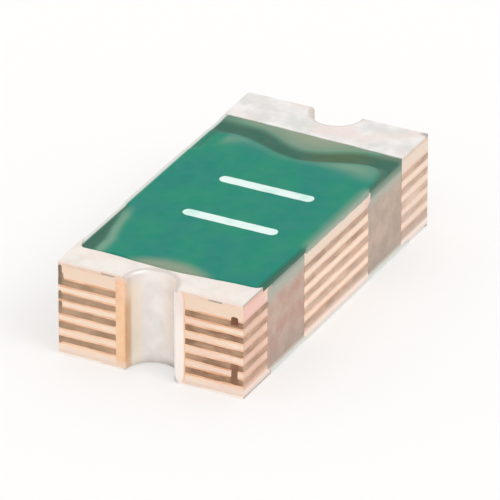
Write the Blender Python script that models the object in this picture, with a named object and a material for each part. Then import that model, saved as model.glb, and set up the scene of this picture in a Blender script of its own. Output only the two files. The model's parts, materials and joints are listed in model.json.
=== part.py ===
"""Resettable fuse: a laminated polymer chip with plated end terminals.

The chip lies flat: X runs across it, Y runs along it from the front end to the
rear end, and Z is up. The origin is on the underside, at the middle of the chip.
Lengths are in metres.

Every piece is a stack of flat slabs. The plan of the chip is drawn once, as
named regions, and each slab of a piece fills the cells of the plan that lie in
the regions it asks for, so neighbouring pieces meet face to face.
"""

import math

import bmesh
import bpy
from mathutils import Vector
from mathutils.geometry import delaunay_2d_cdt

MM = 0.001

# Outline of the chip
CHIP_WIDTH = 1.60 * MM
CHIP_LENGTH = 3.20 * MM

# Thickness of each sheet in the stack
SHEET_COUNT = 5
POLYMER_THICKNESS = 0.049 * MM
INNER_FOIL_THICKNESS = 0.018 * MM
BOND_THICKNESS = 0.039 * MM
TOP_PLY_THICKNESS = 0.098 * MM
BOTTOM_PLY_THICKNESS = 0.052 * MM
OUTER_FOIL_THICKNESS = 0.025 * MM
LAND_THICKNESS = 0.020 * MM
MASK_THICKNESS = 0.016 * MM
MASK_DIP = 0.006 * MM
INK_THICKNESS = 0.004 * MM

# Plated half hole in each end
HOLE_RADIUS = 0.205 * MM
TIN_WALL = 0.030 * MM
COPPER_WALL = 0.065 * MM
COLLAR_WIDTH = 0.130 * MM
COLLAR_THICKNESS = 0.007 * MM

# Solder lands, measured in from the end that they belong to
SHORT_LAND = 0.29 * MM
LONG_LAND = 0.44 * MM

# Slot that parts a foil from the far terminal, measured in from that end
SLOT_WIDTH = 0.16 * MM
OUTER_SLOT_DEPTH = 0.50 * MM
OUTER_SLOT_BULGE = 0.21 * MM
OUTER_SLOT_BULGE_HALF_WIDTH = 0.65 * MM
INNER_SLOT_DEPTH = 0.62 * MM
FIELD_CORNER_RADIUS = 0.10 * MM

# Resin filled pockets in the long sides
POCKET_FROM_END = 0.47 * MM
POCKET_LENGTH = 0.56 * MM
POCKET_DEPTH = 0.09 * MM
POCKET_CORNER_RADIUS = 0.04 * MM
FOIL_CLEARANCE = 0.025 * MM
WINDOW_FROM_LAND = 0.04 * MM
MASK_PLUG_DEPTH = 0.075 * MM

# Printed index mark on the solder mask
INK_BAR_LENGTH = 0.82 * MM
INK_BAR_WIDTH = 0.10 * MM
INK_BAR_SPACING = 0.62 * MM
INK_CENTRE_X = 0.09 * MM
INK_CENTRE_Y = -0.13 * MM

# Fineness of the curved outlines, and how far cut-outs run past the chip
CIRCLE_STEPS = 48
CORNER_STEPS = 3
WAVE_STEPS = 20
INK_STEPS = 10
OVERRUN = 0.20 * MM
MERGE_DISTANCE = 0.00001 * MM

# Radii of the plated hole, from the inside out
TIN_RADIUS = HOLE_RADIUS + TIN_WALL
COPPER_RADIUS = TIN_RADIUS + COPPER_WALL
COLLAR_RADIUS = COPPER_RADIUS + COLLAR_WIDTH

# Heights in the stack, from the bottom up
BOTTOM_COLLAR_Z = LAND_THICKNESS - COLLAR_THICKNESS
BOTTOM_MASK_Z = LAND_THICKNESS - MASK_THICKNESS
BOTTOM_PLY_Z = LAND_THICKNESS + OUTER_FOIL_THICKNESS
FIRST_SHEET_Z = BOTTOM_PLY_Z + BOTTOM_PLY_THICKNESS + INNER_FOIL_THICKNESS
BOND_GAP = 2 * INNER_FOIL_THICKNESS + BOND_THICKNESS
SHEET_PITCH = POLYMER_THICKNESS + BOND_GAP
SHEET_BOTTOMS = [FIRST_SHEET_Z + index * SHEET_PITCH for index in range(SHEET_COUNT)]
SHEET_TOPS = [bottom + POLYMER_THICKNESS for bottom in SHEET_BOTTOMS]
TOP_FOIL_Z = SHEET_TOPS[-1] + INNER_FOIL_THICKNESS + TOP_PLY_THICKNESS
LAND_Z = TOP_FOIL_Z + OUTER_FOIL_THICKNESS
TOP_COLLAR_Z = LAND_Z + COLLAR_THICKNESS
MASK_TOP_Z = LAND_Z + MASK_THICKNESS
CHIP_HEIGHT = LAND_Z + LAND_THICKNESS

# Edges of the chip
SIDE_X = CHIP_WIDTH / 2
END_Y = CHIP_LENGTH / 2

# Colour, roughness and metallic value of each finish
FINISHES = {
    "polymer": ((0.200, 0.120, 0.075), 0.60, 0.0),
    "copper": ((0.780, 0.430, 0.270), 0.35, 1.0),
    "glass resin": ((0.850, 0.640, 0.500), 0.55, 0.0),
    "tin": ((0.830, 0.800, 0.760), 0.40, 1.0),
    "solder mask": ((0.030, 0.290, 0.190), 0.40, 0.0),
    "side resin": ((0.480, 0.350, 0.275), 0.70, 0.0),
    "ink": ((0.730, 0.850, 0.820), 0.55, 0.0),
}


def clear_scene():
    """Remove every object that the file opened with."""
    for item in list(bpy.data.objects):
        bpy.data.objects.remove(item, do_unlink=True)


def make_material(name, kind):
    """Make the material of one piece from the table of finishes."""
    colour, roughness, metallic = FINISHES[kind]
    material = bpy.data.materials.new(name)
    material.use_nodes = True
    shader = material.node_tree.nodes["Principled BSDF"]
    shader.inputs["Base Color"].default_value = (*colour, 1.0)
    shader.inputs["Roughness"].default_value = roughness
    shader.inputs["Metallic"].default_value = metallic
    material.diffuse_color = (*colour, 1.0)
    return material


def rectangle(left, right, front, rear):
    """Outline of a plain rectangle in the plan."""
    return [(left, front), (right, front), (right, rear), (left, rear)]


def arc(centre_x, centre_y, radius, start, end, steps):
    """Points on an arc, both ends included, with the angles in degrees."""
    points = []
    for step in range(steps + 1):
        angle = math.radians(start + (end - start) * step / steps)
        points.append((centre_x + radius * math.cos(angle), centre_y + radius * math.sin(angle)))
    return points


def circle(centre_y, radius):
    """Outline of a circle on the chip's centre line."""
    return arc(0, centre_y, radius, 0, 360, CIRCLE_STEPS)[:-1]


def pocket(front, rear, depth, corner):
    """Outline of a pocket in the right-hand side, with rounded inner corners."""
    inner = SIDE_X - depth
    outline = [(SIDE_X + OVERRUN, front), (SIDE_X + OVERRUN, rear)]
    outline.extend(arc(inner + corner, rear - corner, corner, 90, 180, CORNER_STEPS))
    outline.extend(arc(inner + corner, front + corner, corner, 180, 270, CORNER_STEPS))
    return outline


def mirrored(outline):
    """The same outline on the other side of the chip."""
    return [(-x, y) for x, y in reversed(outline)]


def turned(outline):
    """The same outline with the front and rear ends changed over."""
    return [(x, -y) for x, y in reversed(outline)]


def bowed_edge(depth, reach):
    """Edge of the outer foil's slot, bowed round the collar, from left to right."""
    points = []
    for step in range(WAVE_STEPS + 1):
        x = reach * (2 * step / WAVE_STEPS - 1)
        swing = min(abs(x) / OUTER_SLOT_BULGE_HALF_WIDTH, 1)
        bow = OUTER_SLOT_BULGE * (1 + math.cos(math.pi * swing)) / 2
        points.append((x, END_Y - depth - bow))
    return points


def beyond(edge):
    """Everything from an edge that crosses the chip to past the rear end."""
    side = SIDE_X + OVERRUN
    end = END_Y + OVERRUN
    return [(-side, edge[0][1]), *edge, (side, edge[-1][1]), (side, end), (-side, end)]


def rounded_field_edge(depth, reach):
    """Rear edge of the outer foil's field, with its two corners rounded."""
    radius = FIELD_CORNER_RADIUS
    centre_y = END_Y - depth - radius
    corner = arc(reach - radius, centre_y, radius, 90, 0, CORNER_STEPS)
    bow = bowed_edge(depth, reach - radius)
    return mirrored(corner)[:-1] + bow + corner[1:]


def side_regions():
    """Regions along the long sides: the pockets and the foil windows round them."""
    near = POCKET_FROM_END
    far = POCKET_FROM_END + POCKET_LENGTH
    spans = {"front": (near - END_Y, far - END_Y), "rear": (END_Y - far, END_Y - near)}
    window_depth = POCKET_DEPTH + FOIL_CLEARANCE
    regions = []
    for end, (front, rear) in spans.items():
        right_pocket = pocket(front, rear, POCKET_DEPTH, POCKET_CORNER_RADIUS)
        window_front = SHORT_LAND + WINDOW_FROM_LAND - END_Y if end == "front" else front - FOIL_CLEARANCE
        window = pocket(window_front, rear + FOIL_CLEARANCE, window_depth, POCKET_CORNER_RADIUS)
        regions.append((f"right {end} pocket", right_pocket))
        regions.append((f"left {end} pocket", mirrored(right_pocket)))
        regions.append(("window", window))
        regions.append(("window", mirrored(window)))
    return regions


def draw_plan():
    """The plan as (region, outline) pairs, as the top of the chip needs it."""
    reach = SIDE_X - POCKET_DEPTH - FOIL_CLEARANCE
    across = (-SIDE_X - OVERRUN, SIDE_X + OVERRUN)
    inner_slot = [(across[0], END_Y - INNER_SLOT_DEPTH), (across[1], END_Y - INNER_SLOT_DEPTH)]
    inner_field = [(x, y - SLOT_WIDTH) for x, y in inner_slot]
    plan = [
        ("chip", rectangle(-SIDE_X, SIDE_X, -END_Y, END_Y)),
        ("front half", rectangle(*across, -END_Y - OVERRUN, 0)),
        ("short land", rectangle(*across, -END_Y - OVERRUN, SHORT_LAND - END_Y)),
        ("long land", rectangle(*across, END_Y - LONG_LAND, END_Y + OVERRUN)),
        ("past inner field", beyond(inner_field)),
        ("past inner slot", beyond(inner_slot)),
        ("past field", beyond(rounded_field_edge(OUTER_SLOT_DEPTH + SLOT_WIDTH, reach))),
        ("past slot", beyond(bowed_edge(OUTER_SLOT_DEPTH, reach))),
    ]
    for centre_y in (-END_Y, END_Y):
        plan.append(("hole", circle(centre_y, HOLE_RADIUS)))
        plan.append(("tin", circle(centre_y, TIN_RADIUS)))
        plan.append(("copper", circle(centre_y, COPPER_RADIUS)))
        plan.append(("collar", circle(centre_y, COLLAR_RADIUS)))
    return plan + side_regions()


def plan_cells(plan, wanted):
    """Cut the plan into triangles along the outlines of the wanted regions.

    Gives each triangle's corners with the names of the regions that it lies in.
    """
    chosen = [(name, outline) for name, outline in plan if name in wanted]
    corners = []
    loops = []
    for _, outline in chosen:
        loops.append(list(range(len(corners), len(corners) + len(outline))))
        corners.extend(Vector((x / MM, y / MM)) for x, y in outline)
    points, _, triangles, _, _, owners = delaunay_2d_cdt(corners, [], loops, 1, MERGE_DISTANCE / MM)
    cells = []
    for triangle, owner in zip(triangles, owners):
        regions = {chosen[index][0] for index in owner}
        cells.append(([(points[index].x * MM, points[index].y * MM) for index in triangle], regions))
    return cells


def stack_slabs(slabs, plan, wanted):
    """Faces of the solid that the slabs make, without the walls they share."""
    cells = plan_cells(plan, wanted)
    faces = {}
    for bottom, top, fills in slabs:
        for outline, regions in cells:
            if not fills(regions):
                continue
            low = [(x, y, bottom) for x, y in outline]
            high = [(x, y, top) for x, y in outline]
            walls = [(low[i - 1], low[i], high[i], high[i - 1]) for i in range(len(low))]
            for face in (low[::-1], high, *walls):
                key = frozenset(face)
                if key in faces:
                    del faces[key]
                else:
                    faces[key] = face
    return faces.values()


def add_piece(name, kind, slabs, plan, wanted):
    """Make one piece from its slabs: (bottom, top, rule that picks its cells)."""
    shape = bmesh.new()
    corners = {}
    for face in stack_slabs(slabs, plan, wanted):
        for point in face:
            if point not in corners:
                corners[point] = shape.verts.new(point)
        shape.faces.new([corners[point] for point in face])
    bmesh.ops.recalc_face_normals(shape, faces=shape.faces)
    flat = math.radians(0.1)
    bmesh.ops.dissolve_limit(shape, angle_limit=flat, verts=shape.verts, edges=shape.edges)
    mesh = bpy.data.meshes.new(name)
    shape.to_mesh(mesh)
    shape.free()
    mesh.materials.append(make_material(name, kind))
    piece = bpy.data.objects.new(name, mesh)
    bpy.context.scene.collection.objects.link(piece)


POCKETS = {"right front pocket", "right rear pocket", "left front pocket", "left rear pocket"}
SHEET_REGIONS = {"chip", "copper"} | POCKETS
INNER_FOIL_REGIONS = SHEET_REGIONS | {"past inner field", "past inner slot"}
OUTER_FOIL_REGIONS = {"chip", "copper", "window", "past field", "past slot"}
TERMINAL_REGIONS = {"chip", "front half", "short land", "long land", "hole", "tin", "collar"}
MASK_REGIONS = OUTER_FOIL_REGIONS | {"short land", "long land", "collar"} | POCKETS


def in_sheet(regions):
    """The core of the chip: all of it but the plated holes and the pockets."""
    return "chip" in regions and not regions & (POCKETS | {"copper"})


def in_inner_slot(regions):
    """The slot across an inner foil."""
    return in_sheet(regions) and "past inner field" in regions and "past inner slot" not in regions


def in_outer_foil(regions):
    """The etched outer foil, both its field and the pad behind the slot."""
    if "chip" not in regions or regions & {"copper", "window"}:
        return False
    return "past field" not in regions or "past slot" in regions


def in_mask(regions):
    """The part of a face that the solder mask covers."""
    return "chip" in regions and not regions & {"short land", "long land"}


def turned_plan(plan):
    """The plan with its ends changed over, as the underside needs it."""
    return [(name, turned(outline)) for name, outline in plan]


def add_polymer_sheets(plan):
    """The conductive polymer sheets, which trip when they warm up."""
    for index, (bottom, top) in enumerate(zip(SHEET_BOTTOMS, SHEET_TOPS)):
        add_piece(f"polymer_sheet_{index + 1}", "polymer", [(bottom, top, in_sheet)], plan, SHEET_REGIONS)


def add_inner_foil(name, bottom, plan):
    """One inner foil: the sheet that joins an end, and its stub at the other."""
    top = bottom + INNER_FOIL_THICKNESS

    def in_field(regions):
        return in_sheet(regions) and "past inner field" not in regions

    def in_stub(regions):
        return in_sheet(regions) and "past inner slot" in regions

    add_piece(name, "copper", [(bottom, top, in_field)], plan, INNER_FOIL_REGIONS)
    add_piece(name + "_stub", "copper", [(bottom, top, in_stub)], plan, INNER_FOIL_REGIONS)


def add_inner_foils(plan):
    """A foil under and over each polymer sheet, joined to opposite ends."""
    for index, (bottom, top) in enumerate(zip(SHEET_BOTTOMS, SHEET_TOPS)):
        add_inner_foil(f"lower_foil_{index + 1}", bottom - INNER_FOIL_THICKNESS, plan)
        add_inner_foil(f"upper_foil_{index + 1}", top, turned_plan(plan))


def add_bond_ply(index, plan):
    """A ply between two polymer sheets, with its resin run into both slots."""
    under = [("under " + name, turned(outline)) for name, outline in plan if "inner" in name]
    wanted = INNER_FOIL_REGIONS | {"under past inner field", "under past inner slot"}

    def in_lower_slot(regions):
        past = "under past inner field" in regions and "under past inner slot" not in regions
        return in_sheet(regions) and past

    bottom = SHEET_TOPS[index]
    top = SHEET_BOTTOMS[index + 1]
    slabs = [
        (bottom, bottom + INNER_FOIL_THICKNESS, in_lower_slot),
        (bottom + INNER_FOIL_THICKNESS, top - INNER_FOIL_THICKNESS, in_sheet),
        (top - INNER_FOIL_THICKNESS, top, in_inner_slot),
    ]
    add_piece(f"bond_ply_{index + 1}", "glass resin", slabs, plan + under, wanted)


def add_cover_plies(plan):
    """The plies under the lowest inner foil and over the highest one."""
    foil_z = SHEET_BOTTOMS[0] - INNER_FOIL_THICKNESS
    lower = [(BOTTOM_PLY_Z, foil_z, in_sheet), (foil_z, SHEET_BOTTOMS[0], in_inner_slot)]
    add_piece("bottom_ply", "glass resin", lower, plan, INNER_FOIL_REGIONS)
    ply_z = SHEET_TOPS[-1] + INNER_FOIL_THICKNESS
    upper = [(SHEET_TOPS[-1], ply_z, in_inner_slot), (ply_z, TOP_FOIL_Z, in_sheet)]
    add_piece("top_ply", "glass resin", upper, turned_plan(plan), INNER_FOIL_REGIONS)


def add_outer_foil(name, bottom, top, plan):
    """The etched foil on one face: its field and the far terminal's pad."""

    def in_field(regions):
        return in_outer_foil(regions) and "past field" not in regions

    def in_pad(regions):
        return in_outer_foil(regions) and "past slot" in regions

    add_piece(name, "copper", [(bottom, top, in_field)], plan, OUTER_FOIL_REGIONS)
    add_piece(name + "_pad", "copper", [(bottom, top, in_pad)], plan, OUTER_FOIL_REGIONS)


def add_barrel(name, plan, at_front):
    """Copper plating of a half hole, with a collar spread over each outer foil."""
    regions_here = {"chip", "front half", "tin", "copper", "collar"}

    def here(regions):
        return "chip" in regions and "tin" not in regions and ("front half" in regions) == at_front

    def in_collar(regions):
        return here(regions) and "collar" in regions

    def in_wall(regions):
        return here(regions) and "copper" in regions

    slabs = [
        (BOTTOM_COLLAR_Z, LAND_THICKNESS, in_collar),
        (LAND_THICKNESS, LAND_Z, in_wall),
        (LAND_Z, TOP_COLLAR_Z, in_collar),
    ]
    add_piece(name, "copper", slabs, plan, regions_here)


def add_terminal(name, plan, at_front):
    """Tin terminal: a land on each face, joined by the lining of the half hole."""
    under = [("under " + region, turned(outline)) for region, outline in plan if "land" in region]
    wanted = TERMINAL_REGIONS | {"under short land", "under long land"}

    def here(regions):
        return "chip" in regions and "hole" not in regions and ("front half" in regions) == at_front

    def in_lining(regions):
        return here(regions) and "tin" in regions

    def in_top_land(regions):
        return here(regions) and bool(regions & {"short land", "long land"})

    def in_bottom_land(regions):
        return here(regions) and bool(regions & {"under short land", "under long land"})

    def round_top_collar(regions):
        return in_lining(regions) or in_top_land(regions) and "collar" not in regions

    def round_bottom_collar(regions):
        return in_lining(regions) or in_bottom_land(regions) and "collar" not in regions

    slabs = [
        (0, BOTTOM_COLLAR_Z, in_bottom_land),
        (BOTTOM_COLLAR_Z, LAND_THICKNESS, round_bottom_collar),
        (LAND_THICKNESS, LAND_Z, in_lining),
        (LAND_Z, TOP_COLLAR_Z, round_top_collar),
        (TOP_COLLAR_Z, CHIP_HEIGHT, in_top_land),
    ]
    add_piece(name, "tin", slabs, plan + under, wanted)


def add_side_fills(plan):
    """Resin in the four pockets, sawn flush with the sides and short of the top."""
    for region in sorted(POCKETS):

        def in_fill(regions, pocket_name=region):
            return "chip" in regions and pocket_name in regions

        side, end, _ = region.split()
        slabs = [(BOTTOM_PLY_Z, TOP_FOIL_Z - MASK_PLUG_DEPTH, in_fill)]
        add_piece(f"{end}_{side}_side_fill", "side resin", slabs, plan, {"chip", region})


def round_collar(regions):
    """The masked part of a face that lies clear of the copper collars."""
    return in_mask(regions) and "collar" not in regions


def between_foils(regions):
    """The masked part of a face where the outer foil is etched away."""
    return in_mask(regions) and "copper" not in regions and not in_outer_foil(regions)


def add_top_mask(plan):
    """Solder mask on top: it dips between foils and fills the pockets over the resin."""

    def in_plug(regions):
        return in_mask(regions) and bool(regions & POCKETS)

    def over_copper(regions):
        return in_mask(regions) and not between_foils(regions)

    slabs = [
        (TOP_FOIL_Z - MASK_PLUG_DEPTH, TOP_FOIL_Z, in_plug),
        (TOP_FOIL_Z, LAND_Z, between_foils),
        (LAND_Z, TOP_COLLAR_Z, round_collar),
        (TOP_COLLAR_Z, MASK_TOP_Z - MASK_DIP, in_mask),
        (MASK_TOP_Z - MASK_DIP, MASK_TOP_Z, over_copper),
    ]
    add_piece("top_solder_mask", "solder mask", slabs, plan, MASK_REGIONS)


def add_bottom_mask(plan):
    """Solder mask on the underside, with resin behind it in the pockets."""
    slabs = [
        (BOTTOM_MASK_Z, BOTTOM_COLLAR_Z, in_mask),
        (BOTTOM_COLLAR_Z, LAND_THICKNESS, round_collar),
        (LAND_THICKNESS, BOTTOM_PLY_Z, between_foils),
    ]
    add_piece("bottom_solder_mask", "solder mask", slabs, turned_plan(plan), MASK_REGIONS)


def add_ink():
    """Two plain printed bars with round ends, which show which face is the top."""
    radius = INK_BAR_WIDTH / 2
    reach = INK_BAR_LENGTH / 2 - radius
    for index, offset in enumerate((-INK_BAR_SPACING / 2, INK_BAR_SPACING / 2)):
        middle = INK_CENTRE_Y + offset
        right_end = arc(INK_CENTRE_X + reach, middle, radius, -90, 90, INK_STEPS)
        left_end = arc(INK_CENTRE_X - reach, middle, radius, 90, 270, INK_STEPS)
        outline = right_end + left_end
        slabs = [(MASK_TOP_Z, MASK_TOP_Z + INK_THICKNESS, lambda regions: "bar" in regions)]
        add_piece(f"ink_bar_{index + 1}", "ink", slabs, [("bar", outline)], {"bar"})


def main():
    """Build the chip from the inner sheets to the printed mark."""
    clear_scene()
    plan = draw_plan()
    add_polymer_sheets(plan)
    add_inner_foils(plan)
    for index in range(SHEET_COUNT - 1):
        add_bond_ply(index, plan)
    add_cover_plies(plan)
    add_outer_foil("top_foil", TOP_FOIL_Z, LAND_Z, plan)
    add_outer_foil("bottom_foil", LAND_THICKNESS, BOTTOM_PLY_Z, turned_plan(plan))
    add_side_fills(plan)
    for end, at_front in (("front", True), ("rear", False)):
        add_barrel(end + "_copper_barrel", plan, at_front)
        add_terminal(end + "_terminal", plan, at_front)
    add_top_mask(plan)
    add_bottom_mask(plan)
    add_ink()


main()
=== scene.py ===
"""Looks of the resettable fuse: sawn laminate, plated ends, solder mask and print.

The chip is smaller than the distances that Blender's modelling operators round
to, so each new piece is modelled in millimetres and scaled to metres at the end.
X runs across the chip, Y along it from the front end to the rear end, Z is up.
"""

from __future__ import annotations

import json
import logging
import math
from collections.abc import Callable, Iterable
from dataclasses import dataclass
from enum import Enum

import bmesh
import bpy
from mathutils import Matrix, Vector, noise


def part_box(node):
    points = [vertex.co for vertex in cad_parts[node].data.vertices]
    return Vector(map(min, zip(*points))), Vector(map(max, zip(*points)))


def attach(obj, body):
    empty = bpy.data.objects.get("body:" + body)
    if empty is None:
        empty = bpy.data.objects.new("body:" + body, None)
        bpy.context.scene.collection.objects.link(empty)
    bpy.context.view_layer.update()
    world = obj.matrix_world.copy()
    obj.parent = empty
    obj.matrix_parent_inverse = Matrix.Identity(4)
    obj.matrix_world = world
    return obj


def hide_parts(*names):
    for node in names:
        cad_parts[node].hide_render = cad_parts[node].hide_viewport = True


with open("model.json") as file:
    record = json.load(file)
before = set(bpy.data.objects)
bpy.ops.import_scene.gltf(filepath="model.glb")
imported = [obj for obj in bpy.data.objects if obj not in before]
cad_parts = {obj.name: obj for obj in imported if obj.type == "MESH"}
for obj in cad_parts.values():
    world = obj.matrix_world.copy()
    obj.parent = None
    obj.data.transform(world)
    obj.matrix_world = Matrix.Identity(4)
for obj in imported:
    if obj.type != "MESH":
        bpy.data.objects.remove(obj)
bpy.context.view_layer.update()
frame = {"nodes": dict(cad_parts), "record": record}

LOG = logging.getLogger("resettable_fuse")
MM = 0.001
NEAR = 1e-4
MID_HEIGHT = 0.41
COAT_VALUES = "coat"
BURIED_FROM = 0.6
Triple = tuple[float, float, float]
Colour = Triple
Socket = bpy.types.NodeSocket


class End(Enum):
    """An end of the chip, with the sign of its Y."""

    FRONT = -1
    REAR = 1


class Face(Enum):
    """A face of the chip that carries a coating, with the sign of its normal."""

    TOP = 1
    BOTTOM = -1


class Side(Enum):
    """A long side of the chip, with the sign of its X."""

    LEFT = -1
    RIGHT = 1


class Slot(Enum):
    """Material slots of the record."""

    POLYMER = "polymer"
    COPPER = "copper"
    GLASS_RESIN = "glass_resin"
    TIN = "tin"
    SOLDER_MASK = "solder_mask"
    SIDE_RESIN = "side_resin"
    INK = "ink"


def label(*places: Enum) -> str:
    """Join the names of an end, a side or a face, for the name of a piece."""
    return "_".join(place.name.lower() for place in places)


def box_mm(node: str) -> tuple[Vector, Vector]:
    """Give the lowest and the highest corner of a CAD node, in millimetres."""
    low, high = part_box(node)
    return low / MM, high / MM


def bell(distance: float, reach: float) -> float:
    """Give the height of a bell curve of height 1 at a distance from its middle."""
    return math.exp(-((distance / reach) ** 2))


def hump(distance: float, reach: float) -> float:
    """Give the height of a smooth hump of height 1 that ends at its reach."""
    return (1.0 + math.cos(math.pi * min(abs(distance) / reach, 1.0))) / 2.0


@dataclass(frozen=True)
class Ramp:
    """A smooth change from one value to another between two places."""

    low: float
    high: float
    at_low: float = 0.0
    at_high: float = 1.0

    def __call__(self, place: float) -> float:
        """Give the value at a place."""
        share = min(max((place - self.low) / (self.high - self.low), 0.0), 1.0)
        return self.at_low + (self.at_high - self.at_low) * share * share * (3.0 - 2.0 * share)


@dataclass(frozen=True)
class Wobble:
    """A smooth, repeatable wobble over a plane, between about -size and size."""

    size: float
    first_per_mm: float
    second_per_mm: float
    seed: float = 0.0

    def __call__(self, first: float, second: float, shift: float = 0.0) -> float:
        """Give the wobble at a place, where each shift picks a pattern of its own."""
        spot = (self.first_per_mm * first, self.second_per_mm * second, self.seed + shift)
        return self.size * noise.noise(Vector(spot))


class Recipe:
    """The nodes of a material or a sky in the making, with short ways to add and join them."""

    def __init__(self, owner: bpy.types.Material | bpy.types.World) -> None:
        """Start with the owner's own shader and output.

        Args:
            owner: The material or the world that the nodes belong to.
        """
        owner.use_nodes = True
        self.owner = owner
        self.tree = owner.node_tree
        self.shader = self.tree.nodes.get("Principled BSDF") or self.tree.nodes["Background"]

    def join(self, value: object, target: Socket) -> None:
        """Link a socket to an input, or set the input to a plain value."""
        if isinstance(value, Socket):
            self.tree.links.new(value, target)
        else:
            target.default_value = value

    def feed(self, node: bpy.types.Node, **inputs: object) -> bpy.types.Node:
        """Give a node its inputs, named with underscores for spaces."""
        for name, value in inputs.items():
            self.join(value, node.inputs[name.replace("_", " ")])
        return node

    def add(self, kind: str, **inputs: object) -> bpy.types.Node:
        """Add a node of a kind, such as Bump, with its inputs."""
        return self.feed(self.tree.nodes.new("ShaderNode" + kind), **inputs)

    def place(self, stretch: Triple = (1.0, 1.0, 1.0)) -> Socket:
        """Give the place on the piece in millimetres, stretched along X, Y and Z."""
        spot = self.add("TexCoord").outputs["Object"]
        return self.add("Mapping", Vector=spot, Scale=[axis / MM for axis in stretch]).outputs["Vector"]

    def spread(
        self, value: Socket, low: float, high: float, at_low: float = 0.0, at_high: float = 1.0
    ) -> Socket:
        """Map a range of a value smoothly to another range, and clamp it there.

        Args:
            value: The value.
            low: The start of its range.
            high: The end of its range.
            at_low: What the start becomes.
            at_high: What the end becomes.

        Returns:
            The mapped value.
        """
        node = self.add("MapRange", Value=value, From_Min=low, From_Max=high, To_Min=at_low, To_Max=at_high)
        node.interpolation_type = "SMOOTHSTEP"
        return node.outputs["Result"]

    def combine(self, operation: str, first: Socket, second: Socket | float = 0.0) -> Socket:
        """Join two values with a math node."""
        node = self.add("Math")
        node.operation = operation
        self.join(first, node.inputs[0])
        self.join(second, node.inputs[1])
        return node.outputs["Value"]

    def product(self, first: Socket, *others: Socket) -> Socket:
        """Multiply values with each other."""
        for other in others:
            first = self.combine("MULTIPLY", first, other)
        return first

    def tint(self, share: Socket, first: Socket | Colour, second: Socket | Colour) -> Socket:
        """Mix two colours.

        Args:
            share: How much of the second colour shows.
            first: The colour where share is 0.
            second: The colour where share is 1.

        Returns:
            The mixed colour.
        """
        node = self.add("Mix")
        node.data_type = "RGBA"
        self.join(share, node.inputs["Factor"])
        targets = [socket for socket in node.inputs if socket.type == "RGBA"]
        for target, colour in zip(targets, (first, second)):
            self.join((*colour, 1.0) if isinstance(colour, tuple) else colour, target)
        return next(socket for socket in node.outputs if socket.type == "RGBA")

    def where(self, first: Share, *others: Share, strength: float = 1.0) -> Socket:
        """Multiply shares with each other, the first of them scaled by a strength."""
        return self.product(first.add(self, strength), *(share.add(self) for share in others))

    def paint(self, body: Socket | Colour, *layers: Layer) -> Socket:
        """Lay layers over a colour, one after the other."""
        for layer in layers:
            body = self.tint(self.where(*layer.shares), body, layer.colour)
        return body

    def values(self, attribute: str) -> list[Socket]:
        """Give the four values that a piece's points carry in one attribute."""
        source = self.add("Attribute")
        source.attribute_name = attribute
        split = self.add("SeparateColor", Color=source.outputs["Color"])
        return [*split.outputs, source.outputs["Alpha"]]

    def relief(self, bumps: Iterable[tuple[Texture, float]]) -> None:
        """Give the surface a fine relief, from textures and their heights in micrometres."""
        below = {}
        for texture, height in bumps:
            node = self.add("Bump", Height=texture.add(self), Distance=height * MM * MM, **below)
            below = {"Normal": node.outputs["Normal"]}
        self.feed(self.shader, **below)


class Source:
    """Base of the values that shares are mapped from."""

    def add(self, recipe: Recipe) -> Socket:
        """Add the nodes that give the value."""
        raise NotImplementedError


@dataclass(frozen=True)
class Along(Source):
    """The place along an axis in millimetres or, if a centre is given, the distance from it."""

    axis: int
    centre: float | None = None

    def add(self, recipe: Recipe) -> Socket:
        """Add the nodes that give the place."""
        spot = recipe.add("SeparateXYZ", Vector=recipe.place()).outputs[self.axis]
        if self.centre is None:
            return spot
        return recipe.combine("ABSOLUTE", recipe.combine("SUBTRACT", spot, self.centre))


@dataclass(frozen=True)
class Texture(Source):
    """Noise or a cell pattern, by its lumps in a millimetre and its stretch along X, Y and Z."""

    per_mm: float
    detail: float = 2.0
    stretch: Triple = (1.0, 1.0, 1.0)
    cells: bool = False

    def add(self, recipe: Recipe) -> Socket:
        """Add the texture, and give its noise or the distance to each cell's middle."""
        place = recipe.place(self.stretch)
        if self.cells:
            return recipe.add("TexVoronoi", Vector=place, Scale=self.per_mm).outputs["Distance"]
        return recipe.add("TexNoise", Vector=place, Scale=self.per_mm, Detail=self.detail).outputs["Fac"]


@dataclass(frozen=True)
class FromHole(Source):
    """The distance from the axis of the nearer half hole, in millimetres."""

    hole_y: float = 1.600

    def add(self, recipe: Recipe) -> Socket:
        """Add the nodes that give the distance."""
        across = Along(0).add(recipe)
        ahead = recipe.combine("SUBTRACT", Along(1, 0.0).add(recipe), self.hole_y)
        square = recipe.combine("ADD", recipe.product(across, across), recipe.product(ahead, ahead))
        return recipe.combine("SQRT", square)


@dataclass(frozen=True)
class WanderingHeight(Source):
    """The height in millimetres, less a noise that makes its levels wander."""

    noise: Texture = Texture(4.0)
    size: float = 0.2

    def add(self, recipe: Recipe) -> Socket:
        """Add the nodes that give the height."""
        wander = recipe.combine("MULTIPLY", self.noise.add(recipe), self.size)
        return recipe.combine("SUBTRACT", Along(2).add(recipe), wander)


@dataclass(frozen=True)
class Share:
    """How much of something shows: a source's value, mapped smoothly from low and high."""

    source: Source
    low: float
    high: float
    at_low: float = 0.0
    at_high: float = 1.0

    def add(self, recipe: Recipe, strength: float = 1.0) -> Socket:
        """Add the share to a recipe, scaled by a strength."""
        ends = (strength * self.at_low, strength * self.at_high)
        return recipe.spread(self.source.add(recipe), self.low, self.high, *ends)


@dataclass(frozen=True)
class Layer:
    """A colour that shows over the ones before it, as far as all its shares say."""

    colour: Colour
    shares: tuple[Share, ...]


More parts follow.
